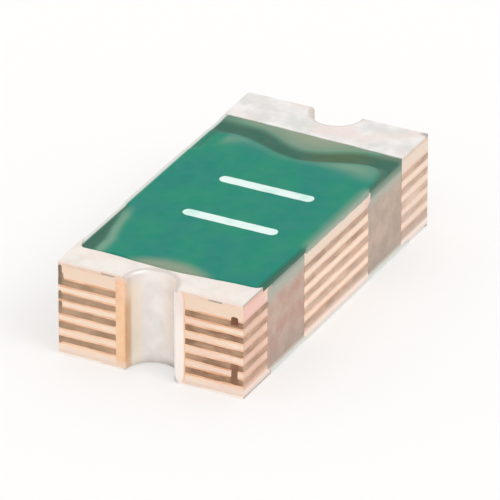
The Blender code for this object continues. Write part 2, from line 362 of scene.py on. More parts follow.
ACROSS, ALONG, UP = Along(0), Along(1), Along(2)
ASIDE, FROM_MID_HEIGHT = Along(0, 0.0), Along(2, MID_HEIGHT)
FROM_HOLE, WANDERING = FromHole(), WanderingHeight()
SCRATCHES = Texture(7.0, 3.0, (0.35, 0.35, 16.0))
THREADS = Texture(34.0, stretch=(0.45, 0.45, 1.6), cells=True)
ON_SIDE = Share(ASIDE, 0.798, 0.799)
ON_FRONT = Share(ALONG, -1.599, -1.596, 1.0, 0.0)
ON_END = Share(Along(1, 0.0), 1.5980, 1.5984)
BEHIND_FRONT = Share(ALONG, -1.30, -1.00, 0.2, 1.0)
TOWARDS_REAR = Share(ALONG, -0.1, 0.1)


@dataclass(frozen=True)
class Finish:
    """Base of the finishes: a name, a roughness, a relief and the inputs that are even."""

    name: str
    roughness: Share
    bumps: tuple[tuple[Texture, float], ...]
    even: tuple[tuple[str, float], ...] = ()

    def colour(self, recipe: Recipe) -> Socket:
        """Mix the finish's colour."""
        raise NotImplementedError

    def material(self) -> bpy.types.Material:
        """Build the material."""
        recipe = Recipe(bpy.data.materials.new(self.name))
        varied = {"Base_Color": self.colour(recipe), "Roughness": self.roughness.add(recipe)}
        recipe.feed(recipe.shader, **varied, **dict(self.even))
        recipe.relief(self.bumps)
        return recipe.owner


@dataclass(frozen=True)
class SawnFinish(Finish):
    """Base of the finishes that the dicing saw leaves on the cut sheets.

    The saw has dragged resin along the long sides. It is pale, thicker towards
    the rear and near the bottom, dim at the top, and pink near the front end and at
    one corner of a pocket. Low on the faces the sheets are painted nearly white with
    light from the bright floor. How much of the resin clings to a sheet is hold.
    """

    hold: float = 1.0
    smear: Layer = Layer(
        (0.850, 0.665, 0.560),
        (
            ON_SIDE,
            BEHIND_FRONT,
            Share(UP, 0.27, 0.70, 0.42, 0.14),
            Share(UP, 0.08, 0.24, 0.45, 1.0),
            Share(ALONG, 0.95, 1.35, 1.0, 1.35),
            Share(Texture(3.5, 3.0, (1.0, 1.0, 4.0)), 0.32, 0.66, 0.65, 1.20),
        ),
    )
    dimmed: Colour = (0.765, 0.620, 0.510)
    dim_top: Share = Share(UP, 0.46, 0.73, 0.0, 0.88)
    dim_rear: Share = Share(ALONG, 1.05, 1.25, 0.0, 0.45)
    dusk: Layer = Layer(
        (0.540, 0.415, 0.345),
        (ON_SIDE, Share(Along(2, 0.105), 0.015, 0.045, 1.0, 0.0), Share(ALONG, -1.10, 1.30, 0.40, 0.85)),
    )
    rosy: Colour = (0.745, 0.480, 0.375)
    pink: Layer = Layer((0.800, 0.490, 0.430), (Share(UP, 0.60, 0.70),))
    pink_front: Share = Share(ALONG, -1.34, -1.05, 0.9, 0.0)
    pink_spot: tuple[Share, ...] = (
        Share(Along(1, 0.53), 0.02, 0.10, 0.55, 0.0),
        Share(Along(2, 0.68), 0.03, 0.08, 1.0, 0.0),
    )
    # Painted light from the bright floor: a pale foot low on the faces, strongest on the sides.
    foot: Layer = Layer(
        (0.905, 0.780, 0.715), (Share(ASIDE, 0.798, 0.799, 0.45, 0.85), Share(UP, 0.048, 0.092, 1.0, 0.0))
    )

    def sheet(self, recipe: Recipe) -> Socket:
        """Mix the colour of the sheet itself."""
        raise NotImplementedError

    def colour(self, recipe: Recipe) -> Socket:
        """Mix the colour of the sheet with the dragged resin over it."""
        body = recipe.paint(self.sheet(recipe), self.smear)
        ends = [share.add(recipe, self.hold) for share in (self.dim_top, self.dim_rear)]
        dim = recipe.product(recipe.where(ON_SIDE, BEHIND_FRONT), recipe.combine("MAXIMUM", *ends))
        body = recipe.paint(recipe.tint(dim, body, self.dimmed), self.dusk)
        front = self.pink_front.add(recipe, self.hold)
        spot = recipe.where(*self.pink_spot, strength=self.hold)
        pinker = recipe.product(ON_SIDE.add(recipe), recipe.combine("MAXIMUM", front, spot))
        body = recipe.tint(pinker, body, recipe.paint(self.rosy, self.pink))
        # The pale foot is painted floor light.
        return recipe.paint(body, self.foot)


@dataclass(frozen=True)
class SawnPolymer(SawnFinish):
    """Dark brown conductive polymer, paler to the left, burnt in spots on the front face and darker along its
    left edge.
    """

    name: str = "sawn_polymer"
    roughness: Share = Share(Texture(30.0), 0.3, 0.7, 0.48, 0.70)
    bumps: tuple[tuple[Texture, float], ...] = ((SCRATCHES, 0.5), (Texture(60.0, 4.0), 0.7))
    hold: float = 0.22
    dark: Colour = (0.260, 0.135, 0.072)
    warm: Layer = Layer((0.500, 0.300, 0.185), (Share(Texture(5.0, 3.0, (1.0, 1.0, 2.0)), 0.34, 0.68),))
    faded: Layer = Layer((0.520, 0.360, 0.230), (Share(ACROSS, -0.80, 0.30, 0.50, 0.0),))
    burnt: Layer = Layer(
        (0.170, 0.048, 0.014),
        (
            ON_FRONT,
            Share(Along(0, 0.725), 0.022, 0.048, 1.0, 0.0),
            Share(Along(2, 0.460), 0.15, 0.18),
            Share(UP, 0.30, 0.62, 0.55, 0.92),
        ),
    )
    # Darker along the left edge of the front face.
    dark_left_edge: Layer = Layer(
        (0.130, 0.120, 0.075),
        (ON_FRONT, Share(ACROSS, -0.785, -0.745, 0.75, 0.0), Share(UP, 0.30, 0.65, 0.35, 1.0)),
    )

    def sheet(self, recipe: Recipe) -> Socket:
        """Mix the colour of the polymer."""
        return recipe.paint(self.dark, self.warm, self.faded, self.burnt, self.dark_left_edge)


@dataclass(frozen=True)
class SawnCopper(SawnFinish):
    """Bright copper edges, from salmon pink to orange, with a darker seam beside the hole."""

    name: str = "sawn_copper"
    roughness: Share = Share(Texture(24.0), 0.3, 0.7, 0.34, 0.55)
    bumps: tuple[tuple[Texture, float], ...] = ((SCRATCHES, 0.5), (Texture(45.0, 3.0), 0.4))
    even: tuple[tuple[str, float], ...] = (("Metallic", 1.0),)
    hold: float = 0.8
    salmon: Colour = (0.980, 0.665, 0.470)
    deep: Colour = (0.820, 0.430, 0.240)
    patch: Share = Share(Texture(3.0, 3.0), 0.36, 0.66)
    streak: Share = Share(SCRATCHES, 0.35, 0.65)
    streak_ends: tuple[float, float] = (0.55, 1.0)
    dusted: Layer = Layer((0.890, 0.735, 0.610), (Share(FROM_MID_HEIGHT, 0.355, 0.373, 0.0, 0.70),))
    golden: Layer = Layer(
        (0.985, 0.690, 0.400), (Share(ASIDE, 0.295, 0.305, 1.0, 0.0), Share(UP, 0.50, 0.66, 0.45, 0.0))
    )
    seam: Layer = Layer(
        (0.680, 0.390, 0.215),
        (
            Share(ASIDE, 0.212, 0.230, 1.0, 0.0),
            Share(UP, 0.54, 0.68, 1.0, 0.35),
            Share(Texture(7.0), 0.30, 0.60, 0.55, 1.0),
        ),
    )

    def sheet(self, recipe: Recipe) -> Socket:
        """Mix the colour of the copper."""
        streak = recipe.spread(self.streak.add(recipe), 0.0, 1.0, *self.streak_ends)
        body = recipe.tint(recipe.product(self.patch.add(recipe), streak), self.salmon, self.deep)
        return recipe.paint(body, self.dusted, self.golden, self.seam)


@dataclass(frozen=True)
class GlassResin(SawnFinish):
    """Pale peach resin with the cut ends of glass threads in it."""

    name: str = "glass_resin"
    roughness: Share = Share(THREADS, 0.1, 0.6, 0.38, 0.62)
    bumps: tuple[tuple[Texture, float], ...] = ((SCRATCHES, 0.5), (THREADS, 0.8))
    even: tuple[tuple[str, float], ...] = (("Subsurface_Weight", 0.12), ("Subsurface_Scale", 0.02 * MM))
    resin: Colour = (0.960, 0.735, 0.575)
    flush: Layer = Layer((0.915, 0.610, 0.515), (Share(Texture(1.7), 0.50, 0.74, 0.0, 0.55),))
    glass: Layer = Layer(
        (0.975, 0.805, 0.675),
        (Share(THREADS, 0.15, 0.55, 1.0, 0.0), Share(Texture(6.0, 2.0, (1.0, 1.0, 2.5)), 0.40, 0.62)),
    )
    upper: Layer = Layer((0.860, 0.655, 0.510), (Share(UP, 0.66, 0.70, 0.0, 0.60),))

    def sheet(self, recipe: Recipe) -> Socket:
        """Mix the colour of the resin."""
        return recipe.paint(self.resin, self.flush, self.glass, self.upper)


@dataclass(frozen=True)
class TinPlate(Finish):
    """Matt tin plate, pinkish white and softly mottled.

    It carries a painted cream highlight on the hole's left wall, and painted shade at the
    hole's foot, over the flare's rim and along the lands' right sides.
    """

    name: str = "tin_plate"
    roughness: Share = Share(Texture(18.0, 4.0), 0.3, 0.7, 0.36, 0.58)
    bumps: tuple[tuple[Texture, float], ...] = ((Texture(11.0), 2.0), (Texture(70.0, cells=True), 0.4))
    even: tuple[tuple[str, float], ...] = (("Metallic", 0.9),)
    bright: Colour = (0.905, 0.880, 0.860)
    cloudy: Colour = (0.770, 0.755, 0.725)
    cloud: Share = Share(Texture(5.0, 4.0), 0.38, 0.66)
    blush: Layer = Layer(
        (0.895, 0.770, 0.725), (Share(Texture(2.6, 2.0, (1.0, 1.3, 1.0)), 0.48, 0.72, 0.0, 0.75),)
    )
    warm: Layer = Layer((0.930, 0.830, 0.730), (Share(ALONG, -0.1, 0.1, 0.45, 0.0),))
    sawn: Layer = Layer((1.000, 0.925, 0.865), (ON_END,))
    upper: Layer = Layer((0.900, 0.780, 0.725), (ON_END, Share(UP, 0.45, 0.72, 0.0, 0.8)))
    # Painted shade along the lands' right side faces, stronger at the front end.
    flank_shade: Layer = Layer(
        (0.450, 0.385, 0.330), (Share(ACROSS, 0.7980, 0.7984), Share(ALONG, -0.1, 0.1, 0.65, 0.15))
    )
    smudge: Layer = Layer(
        (0.400, 0.370, 0.340),
        (Share(Along(0, 0.790), 0.005, 0.070, 0.9, 0.0), Share(Along(1, 1.590), 0.005, 0.055, 1.0, 0.0)),
    )
    lining: Colour = (0.930, 0.875, 0.845)
    lining_cloud: tuple[float, float] = (0.0, 0.5)
    # Painted highlight: a warm cream glow on the hole's left wall.
    cream_highlight: Layer = Layer(
        (1.000, 0.910, 0.770), (Share(ACROSS, -0.195, -0.110, 1.0, 0.0), Share(UP, 0.68, 0.78, 1.0, 0.0))
    )
    seam: Layer = Layer(
        (0.800, 0.500, 0.300), (Share(ACROSS, -0.2035, -0.1900, 0.8, 0.0), Share(UP, 0.54, 0.68, 1.0, 0.35))
    )
    shaded: Layer = Layer((0.640, 0.600, 0.510), (TOWARDS_REAR, Share(ACROSS, -0.18, 0.0, 1.0, 0.0)))
    # Painted shade at the hole's foot, mostly on its right half.
    foot: Layer = Layer(
        (0.400, 0.360, 0.320), (Share(UP, 0.0, 0.095, 1.0, 0.0), Share(ACROSS, -0.06, 0.10, 0.35, 1.0))
    )
    in_hole: Share = Share(FROM_HOLE, 0.209, 0.225, 1.0, 0.0)
    # Painted shade over the flare's rim, which dims its highlight.
    rolled: Layer = Layer(
        (0.690, 0.635, 0.590),
        (
            Share(FROM_HOLE, 0.2055, 0.213, 0.0, 0.75),
            Share(FROM_HOLE, 0.230, 0.250, 1.0, 0.0),
            Share(FROM_MID_HEIGHT, 0.370, 0.385),
        ),
    )

    def colour(self, recipe: Recipe) -> Socket:
        """Mix the colour of the lands, of the lining and of the rim between them."""
        cloud = self.cloud.add(recipe)
        body = recipe.tint(cloud, self.bright, self.cloudy)
        body = recipe.paint(body, self.blush, self.warm, self.sawn, self.upper, self.flank_shade, self.smudge)
        lining = recipe.tint(recipe.spread(cloud, 0.0, 1.0, *self.lining_cloud), self.lining, self.cloudy)
        lining = recipe.paint(lining, self.cream_highlight, self.seam, self.shaded, self.foot)
        return recipe.paint(recipe.tint(self.in_hole.add(recipe), body, lining), self.rolled)


@dataclass(frozen=True)
class SolderMaskCoat(Finish):
    """Green coating: dark over bare laminate, pale where it's thin over raised copper.

    The coat also carries painted shade along the front land, a painted pale highlight
    along a foil's edge, and painted floor light at its foot. The points of a coating
    carry four values: how bare the laminate under them is together with the painted
    shade along the front land, how thinly they are covered, how much painted highlight
    they carry along a foil's edge, and how much resin and wear dull them, which on the
    underside's edges shows as painted floor light. Past BURIED_FROM, the last value
    turns the dulled coat into the resin itself.
    """

    name: str = "solder_mask_coat"
    roughness: Share = Share(Texture(9.0, 3.0), 0.3, 0.7, 0.34, 0.50)
    bumps: tuple[tuple[Texture, float], ...] = ((Texture(7.0), 0.8), (Texture(50.0, 3.0), 0.2))
    even: tuple[tuple[str, float], ...] = (("Specular_IOR_Level", 0.12),)
    green: Colour = (0.004, 0.214, 0.162)
    lively: Layer = Layer((0.004, 0.241, 0.145), (Share(Texture(4.0, 3.0, (1.0, 0.6, 1.0)), 0.35, 0.68),))
    dark: Colour = (0.032, 0.128, 0.087)
    olive: Layer = Layer((0.070, 0.128, 0.064), (Share(Along(0, 0.36), 0.06, 0.36, 0.9, 0.0),))
    thin: Colour = (0.275, 0.322, 0.228)
    # Painted highlight along a foil's edge.
    sage: Colour = (0.170, 0.320, 0.228)
    dulled: Colour = (0.390, 0.415, 0.350)
    # Pale tone of the rubbed top-left edge, and painted floor light at the foot of the coats.
    wear_and_floor_light: Colour = (0.700, 0.720, 0.660)
    rubbed_left: tuple[Share, ...] = (Share(ACROSS, -0.770, -0.750, 1.0, 0.0), Share(UP, 0.790, 0.800))
    # Painted floor light below a height of 0.06 mm.
    floor_light_foot: Share = Share(UP, 0.030, 0.060, 1.0, 0.0)
    buried: Colour = (0.440, 0.375, 0.325)

    def colour(self, recipe: Recipe) -> Socket:
        """Mix the colour of the coat from the values of its points."""
        bare_and_land_shade, thin, edge, haze = recipe.values(COAT_VALUES)
        body = recipe.paint(self.green, self.lively)
        # Dark over bare laminate, and as painted shade along the front land.
        body = recipe.tint(bare_and_land_shade, body, recipe.paint(self.dark, self.olive))
        # Painted pale highlight along a foil's edge, then the pale thin coat.
        body = recipe.tint(thin, recipe.tint(edge, body, self.sage), self.thin)
        # Rubbed wear at the top-left edge, and painted floor light at the coats' foot.
        wear_and_floor_light = recipe.combine("MAXIMUM", recipe.where(*self.rubbed_left), self.floor_light_foot.add(recipe))
        dull = recipe.tint(wear_and_floor_light, self.dulled, self.wear_and_floor_light)
        body = recipe.tint(recipe.spread(haze, 0.0, BURIED_FROM), body, dull)
        return recipe.tint(recipe.spread(haze, BURIED_FROM, 1.0), body, self.buried)


@dataclass(frozen=True)
class FillResin(Finish):
    """Taupe filling resin with a fine filler, redder at the front and greyer at its top.

    Painted shadow darkens its lower part, and painted floor light makes its very foot pale.
    """

    name: str = "fill_resin"
    roughness: Share = Share(Texture(26.0), 0.3, 0.7, 0.50, 0.74)
    bumps: tuple[tuple[Texture, float], ...] = ((Texture(14.0, 3.0), 2.4), (Texture(60.0, cells=True), 0.7))
    rosy: Colour = (0.455, 0.285, 0.230)
    taupe: Layer = Layer((0.410, 0.315, 0.250), (Share(ALONG, -0.5, 0.5),))
    pale: Layer = Layer((0.520, 0.390, 0.315), (Share(Texture(5.0, 3.0), 0.36, 0.68),))
    masked: Layer = Layer((0.415, 0.400, 0.345), (Share(WANDERING, 0.46, 0.58, 0.0, 0.90),))
    # Painted contact shadow over the lower part of the fill.
    foot_shadow: Layer = Layer((0.340, 0.290, 0.250), (Share(WANDERING, -0.04, 0.24, 0.50, 0.0),))
    # Painted floor light: a pale band at the very foot.
    wear_and_floor_light: Layer = Layer((0.720, 0.660, 0.610), (Share(UP, 0.045, 0.080, 0.60, 0.0),))

    def colour(self, recipe: Recipe) -> Socket:
        """Mix the colour of the resin."""
        return recipe.paint(self.rosy, self.taupe, self.pale, self.masked, self.foot_shadow, self.wear_and_floor_light)


@dataclass(frozen=True)
class PrintingInk(Finish):
    """White printing ink, minty in patches."""

    name: str = "printing_ink"
    roughness: Share = Share(Texture(30.0), 0.3, 0.7, 0.42, 0.62)
    bumps: tuple[tuple[Texture, float], ...] = ((Texture(28.0, 3.0), 0.6),)
    white: Colour = (0.760, 0.900, 0.850)
    minty: Layer = Layer((0.560, 0.830, 0.740), (Share(Texture(9.0, 3.0), 0.45, 0.75),))

    def colour(self, recipe: Recipe) -> Socket:
        """Mix the colour of the ink."""
        return recipe.paint(self.white, self.minty)


FINISHES = {
    Slot.POLYMER: SawnPolymer().material(),
    Slot.COPPER: SawnCopper().material(),
    Slot.GLASS_RESIN: GlassResin().material(),
    Slot.TIN: TinPlate().material(),
    Slot.SOLDER_MASK: SolderMaskCoat().material(),
    Slot.SIDE_RESIN: FillResin().material(),
    Slot.INK: PrintingInk().material(),
}


class Workpiece:
    """One mesh on the bench, shaped in millimetres with Blender's own operators."""

    def __init__(self, name: str, primitive: Callable[..., object], **settings: object) -> None:
        """Add a primitive and give it the piece's name.

        Args:
            name: The finished piece's name.
            primitive: The operator that adds the primitive.
            settings: The primitive's size and place.
        """
        if bpy.context.object is not None and bpy.context.object.mode != "OBJECT":
            bpy.ops.object.mode_set(mode="OBJECT")
        bpy.ops.object.select_all(action="DESELECT")
        primitive(**settings)
        self.item = bpy.context.object
        self.rename(name)
        bpy.ops.object.transform_apply(location=True, rotation=True, scale=True)

    @classmethod
    def block(cls, name: str, middle: Vector, size: Vector) -> Workpiece:
        """Model a block from its middle and its size."""
        return cls(name, bpy.ops.mesh.primitive_cube_add, size=1.0, location=middle, scale=size)

    @classmethod
    def slab(cls, name: str, columns: int, rows: int) -> Workpiece:
        """Model a slab as a fine grid that runs from -1 to 1, thickened from 0 to 1."""
        grid = {"x_subdivisions": columns, "y_subdivisions": rows, "size": 2.0, "location": (0.0, 0.0, 0.0)}
        piece = cls(name, bpy.ops.mesh.primitive_grid_add, **grid)
        piece.edit()
        bpy.ops.mesh.select_all(action="SELECT")
        bpy.ops.mesh.extrude_region_move(TRANSFORM_OT_translate={"value": (0.0, 0.0, 1.0)})
        piece.close()
        return piece

    def rename(self, name: str) -> None:
        """Name the object and its mesh."""
        self.item.name = name
        self.item.data.name = name

    def edit(self) -> None:
        """Open the piece in edit mode with nothing selected."""
        bpy.context.view_layer.objects.active = self.item
        bpy.ops.object.mode_set(mode="EDIT")
        bpy.ops.mesh.select_mode(type="VERT")
        bpy.ops.mesh.select_all(action="DESELECT")

    def close(self) -> None:
        """Go back to object mode."""
        bpy.ops.object.mode_set(mode="OBJECT")

    def pick_faces(self, wanted: Callable[[Vector, Vector], bool]) -> None:
        """Select the faces whose middle and normal are wanted, and nothing else."""
        bpy.ops.mesh.select_mode(type="FACE")
        bpy.ops.mesh.select_all(action="DESELECT")
        shape = bmesh.from_edit_mesh(self.item.data)
        shape.normal_update()
        for face in shape.faces:
            face.select_set(wanted(face.calc_center_median(), face.normal))
        bmesh.update_edit_mesh(self.item.data)

    def pick_edges(self, wanted: Callable[[Vector, Vector], bool]) -> None:
        """Select the edges whose two ends are wanted, and nothing else."""
        bpy.ops.mesh.select_mode(type="EDGE")
        bpy.ops.mesh.select_all(action="DESELECT")
        shape = bmesh.from_edit_mesh(self.item.data)
        for edge in shape.edges:
            edge.select_set(wanted(edge.verts[0].co, edge.verts[1].co))
        bmesh.update_edit_mesh(self.item.data)

    def move_points(self, place: Callable[[Vector], Vector]) -> None:
        """Put each point where the given rule says."""
        for point in self.item.data.vertices:
            point.co = place(point.co.copy())
        self.item.data.update()

    def mark_points(self, values: list[tuple[float, float, float, float]]) -> None:
        """Give each point the four values that the solder mask's finish reads."""
        layer = self.item.data.attributes.new(COAT_VALUES, "FLOAT_COLOR", "POINT")
        for index, value in enumerate(values):
            layer.data[index].color = value

    def activate(self) -> None:
        """Make the piece the only one selected."""
        bpy.ops.object.select_all(action="DESELECT")
        self.item.select_set(True)
        bpy.context.view_layer.objects.active = self.item

    def carve(self, other: Workpiece, operation: str) -> None:
        """Join or cut the piece with another, which is used up.

        Args:
            other: The piece that is added or taken away.
            operation: UNION or DIFFERENCE.
        """
        self.activate()
        tool = self.item.modifiers.new("carve", "BOOLEAN")
        tool.object = other.item
        tool.operation = operation
        tool.solver = "EXACT"
        bpy.ops.object.modifier_apply(modifier=tool.name)
        bpy.data.objects.remove(other.item)

    def take_in(self, others: Iterable[Workpiece]) -> None:
        """Join other pieces to this one, as loose parts of one mesh."""
        self.activate()
        for other in others:
            other.item.select_set(True)
        bpy.ops.object.join()

    def finish(
        self, slot: Slot, replaces: Iterable[str] = (), smooth_angle: float = 50.0
    ) -> bpy.types.Object:
        """Scale the piece to metres, dress it and fix it to the chip.

        Args:
            slot: The record's slot that it takes its finish from.
            replaces: The CAD nodes that it stands for.
            smooth_angle: The widest angle between faces that are shaded as one, in degrees.

        Returns:
            The finished object.
        """
        self.activate()
        bpy.ops.object.mode_set(mode="EDIT")
        bpy.ops.mesh.select_all(action="SELECT")
        bpy.ops.mesh.normals_make_consistent(inside=False)
        bpy.ops.object.mode_set(mode="OBJECT")
        self.item.scale = (MM, MM, MM)
        bpy.ops.object.transform_apply(location=True, rotation=True, scale=True)
        bpy.ops.object.shade_smooth_by_angle(angle=math.radians(smooth_angle))
        self.item.data.materials.clear()
        self.item.data.materials.append(FINISHES[slot])
        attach(self.item, "root")
        nodes = list(replaces)
        if nodes:
            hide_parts(*nodes)
        points = len(self.item.data.vertices)
        LOG.info("%s: %d points, %s, for %s", self.item.name, points, slot.value, nodes)
        return self.item


@dataclass(frozen=True)
class Margin:
    """How wide the dark margin along a side shows: at the land, at its far end and past it.

    A width below 0 means that no margin shows.
    """

    at_land: float
    at_far: float
    past: float = -0.040


@dataclass(frozen=True)
class PaleLine:
    """Where the painted pale highlight along the foil's edge shows: by the distance from the end, and by X."""

    by_distance: Ramp
    by_x: Ramp
    stronger_right: Ramp
    stronger_left: Ramp


MARGINS = {
    (End.REAR, Side.RIGHT): Margin(0.150, 0.012),
    (End.REAR, Side.LEFT): Margin(0.120, 0.100),
    (End.FRONT, Side.LEFT): Margin(0.165, 0.060),
    (End.FRONT, Side.RIGHT): Margin(0.042, 0.022),
}
# Painted pale highlight along the foil's edge, for each end.
PALE_LINES = {
    End.FRONT: PaleLine(
        Ramp(0.835, 1.105, 1.0, 0.0),
        Ramp(0.0, 0.3, 1.0, 0.0),
        Ramp(0.15, 0.50, 0.0, 0.0),
        Ramp(-0.52, -0.35, 1.0, 0.0),
    ),
    End.REAR: PaleLine(
        Ramp(0.765, 1.035, 1.0, 0.0),
        Ramp(-0.66, -0.56),
        Ramp(0.15, 0.50),
        Ramp(-0.52, -0.35, 0.5, 0.0),
    ),
}


@dataclass(frozen=True)
class Plan:
    """What lies where in the plan of the chip, in millimetres.

    The top is described. The underside is the same, turned end for end.
    """

    half_width: float
    half_length: float
    height: float
    short_land: float
    long_land: float
    hole_radius: float = 0.205
    lining: float = 0.030
    collar_radius: float = 0.430
    trench_peak: float = 0.045
    near_depth: float = 0.520
    near_bulge: float = 0.184
    near_reach: float = 0.515
    far_depth: float = 0.693
    far_bulge: float = 0.160
    far_reach: float = 0.600
    window_depth: float = 0.115
    window_near: float = 0.445
    window_far: float = 1.055
    etched: float = 0.0245
    meeting: float = 0.130
    rear_slant: float = 0.026
    front_slant: float = 0.010
    bulge: float = 0.043
    bulge_x: float = 0.060
    bulge_reach: float = 0.420
    left_wedge_x: float = 0.735
    left_wedge: float = 0.140
    left_power: float = 1.5
    right_round_x: float = 0.740
    right_round: float = 0.035
    edge_wobble: Wobble = Wobble(0.005, 5.0, 3.0, 11.0)
    margin_wobble: Wobble = Wobble(0.12, 6.0, 6.0, 21.0)
    margin_end: tuple[float, float] = (-0.04, 0.10)
    bare_edge: Ramp = Ramp(-0.017, 0.017, 1.0, 0.0)
    bare_rear_left: Ramp = Ramp(-0.03, 0.05, 1.0, 0.38)
    # Painted shade along the front land's edge.
    land_shade: Ramp = Ramp(0.0, 0.030, 1.0, 0.0)
    land_shade_mid: float = 0.48
    land_shade_tilt: float = 0.24
    pocket_gap: Ramp = Ramp(0.460, 0.600, 1.0, 0.0)
    pad_edge: Ramp = Ramp(-0.05, 0.05)
    pad_rear: Ramp = Ramp(0.0, 0.25, 0.65, 1.0)
    pad_side: Ramp = Ramp(0.0, 0.35, 0.55, 1.0)
    bump_x: float = 0.03
    bump_squash: float = 0.85
    bump: Ramp = Ramp(-0.12, 0.03, 0.85, 0.0)
    pale_right_edge: Ramp = Ramp(0.0, 0.045, 0.30, 0.0)
    line_start: Ramp = Ramp(-0.02, 0.02)
    line_corner: float = 0.16
    line_reach: float = 0.040
    line_reach_right: float = 0.030
    line_reach_corner: float = 0.036
    line_strength: float = 0.34
    line_stronger: float = 0.62
    pale_side: Ramp = Ramp(0.010, 0.085, 0.55, 0.0)

    def coat_edge(self, end: End, x: float) -> float:
        """Give the Y at which the solder mask ends.

        Args:
            end: The end of the chip, with the short land at the front.
            x: The place across the chip.

        Returns:
            The Y of the edge.
        """
        wobble = self.edge_wobble(x, end.value)
        if end is End.REAR:
            return self.half_length - self.long_land - self.rear_slant * x / self.half_width + wobble
        edge = self.short_land - self.half_length + self.front_slant * x / self.half_width + wobble
        edge -= self.bulge * bell(x - self.bulge_x, self.bulge_reach)
        left = max(-x - self.left_wedge_x, 0.0) / (self.half_width - self.left_wedge_x)
        right = max(x - self.right_round_x, 0.0) / (self.half_width - self.right_round_x)
        return edge + self.left_wedge * left**self.left_power + self.right_round * right**2

    def trench_near(self, x: float) -> float:
        """Give how far from the rear end the dark trench across the coat begins."""
        return self.near_depth + self.near_bulge * hump(x - self.trench_peak, self.near_reach)

    def trench_far(self, x: float) -> float:
        """Give how far from the rear end the dark trench ends."""
        return self.far_depth + self.far_bulge * hump(x - self.trench_peak, self.far_reach)

    def from_trench(self, x: float, y: float) -> float:
        """Give the distance from a point to the dark trench, below 0 inside it."""
        from_end, step = self.half_length - y, 0.01
        distances = []
        for edge, side in ((self.trench_near, -1), (self.trench_far, 1)):
            steepness = (edge(x + step) - edge(x - step)) / (2.0 * step)
            distances.append(side * (from_end - edge(x)) / math.hypot(1.0, steepness))
        return max(distances)

    def from_margin(self, x: float, y: float) -> float:
        """Give the distance from a point to the dark margin of its side, below 0 inside it."""
        margin = MARGINS[End.REAR if y > 0 else End.FRONT, Side.RIGHT if x > 0 else Side.LEFT]
        from_end = self.half_length - abs(y)
        start, stop = (self.window_far + past for past in self.margin_end)
        width = Ramp(self.short_land, self.window_far, margin.at_land, margin.at_far)(from_end)
        width += Ramp(start, stop, 0.0, margin.past - margin.at_far)(from_end)
        return self.half_width - width * (1.0 + self.margin_wobble(x, y)) - abs(x)

    def from_bare(self, x: float, y: float) -> float:
        """Give the distance from a point to bare laminate, with rounded inner corners."""
        first, second = self.from_trench(x, y), self.from_margin(x, y)
        share = max(self.meeting - abs(first - second), 0.0) / self.meeting
        return min(first, second) - share * share * self.meeting / 4.0

    def over_window(self, x: float, y: float) -> float:
        """Say whether a point lies over a window of the foil, as 0 or 1."""
        near = self.window_near if y > 0 else self.short_land
        inside = near < self.half_length - abs(y) < self.window_far
        return 1.0 if inside and abs(x) > self.half_width - self.window_depth else 0.0

    def bare_and_land_shade(self, x: float, y: float) -> float:
        """Say how dark the coat looks over bare laminate and in the painted shade along the front land's edge,
        from 0 to 1.
        """
        shown = self.bare_edge(self.from_bare(x, y))
        if x < 0 < y:
            shown *= self.bare_rear_left(self.from_trench(x, y))
        # Painted shade along the front land's edge, darker to the left.
        level = self.land_shade_mid - self.land_shade_tilt * x / self.half_width
        return max(shown, level * self.land_shade(y - self.coat_edge(End.FRONT, x)))

    def thin(self, x: float, y: float) -> float:
        """Say how thinly the coat covers a point, and how pale the right edge between the pockets is, from 0
        to 1.
        """
        behind = self.trench_near(x) - self.half_length + y
        pad = self.pad_edge(behind) * self.pad_rear(behind) * self.pad_side(self.half_width - abs(x))
        from_hole = math.hypot(self.bump_squash * (x - self.bump_x), y + self.half_length)
        # Paler along the right edge between the pockets.
        side = self.pocket_gap(abs(y)) * self.pale_right_edge(self.half_width - x)
        return max(pad, self.bump(from_hole - self.collar_radius), side)

    def foil_edge(self, x: float, y: float) -> float:
        """Say how much painted pale highlight shows along the edge of the foil's field, and how pale the right
        edge between the pockets is.
        """
        line = PALE_LINES[End.REAR if y > 0 else End.FRONT]
        shown = line.by_x(x)
        right, left = line.stronger_right(x), line.stronger_left(x) * shown
        shown *= line.by_distance(self.half_length - abs(y))
        shown *= self.line_start(self.half_length - y - self.trench_far(x))
        corner = bell(self.from_trench(x, y) - self.from_margin(x, y), self.line_corner)
        reach = self.line_reach + self.line_reach_right * right + self.line_reach_corner * corner
        strength = self.line_strength + self.line_stronger * max(right, left)
        strength *= shown * bell(self.from_bare(x, y) - reach, reach)
        return max(strength, self.pocket_gap(abs(y)) * self.pale_side(self.half_width - x))


def read_plan() -> Plan:
    """Read the plan's sizes from the frame."""
    top, bottom = box_mm("front_terminal"), box_mm("top_solder_mask")
    half_length = -top[0].y
    return Plan(
        half_width=top[1].x,
        half_length=half_length,
        height=top[1].z,
        short_land=half_length + bottom[0].y,
        long_land=half_length - bottom[1].y,
    )


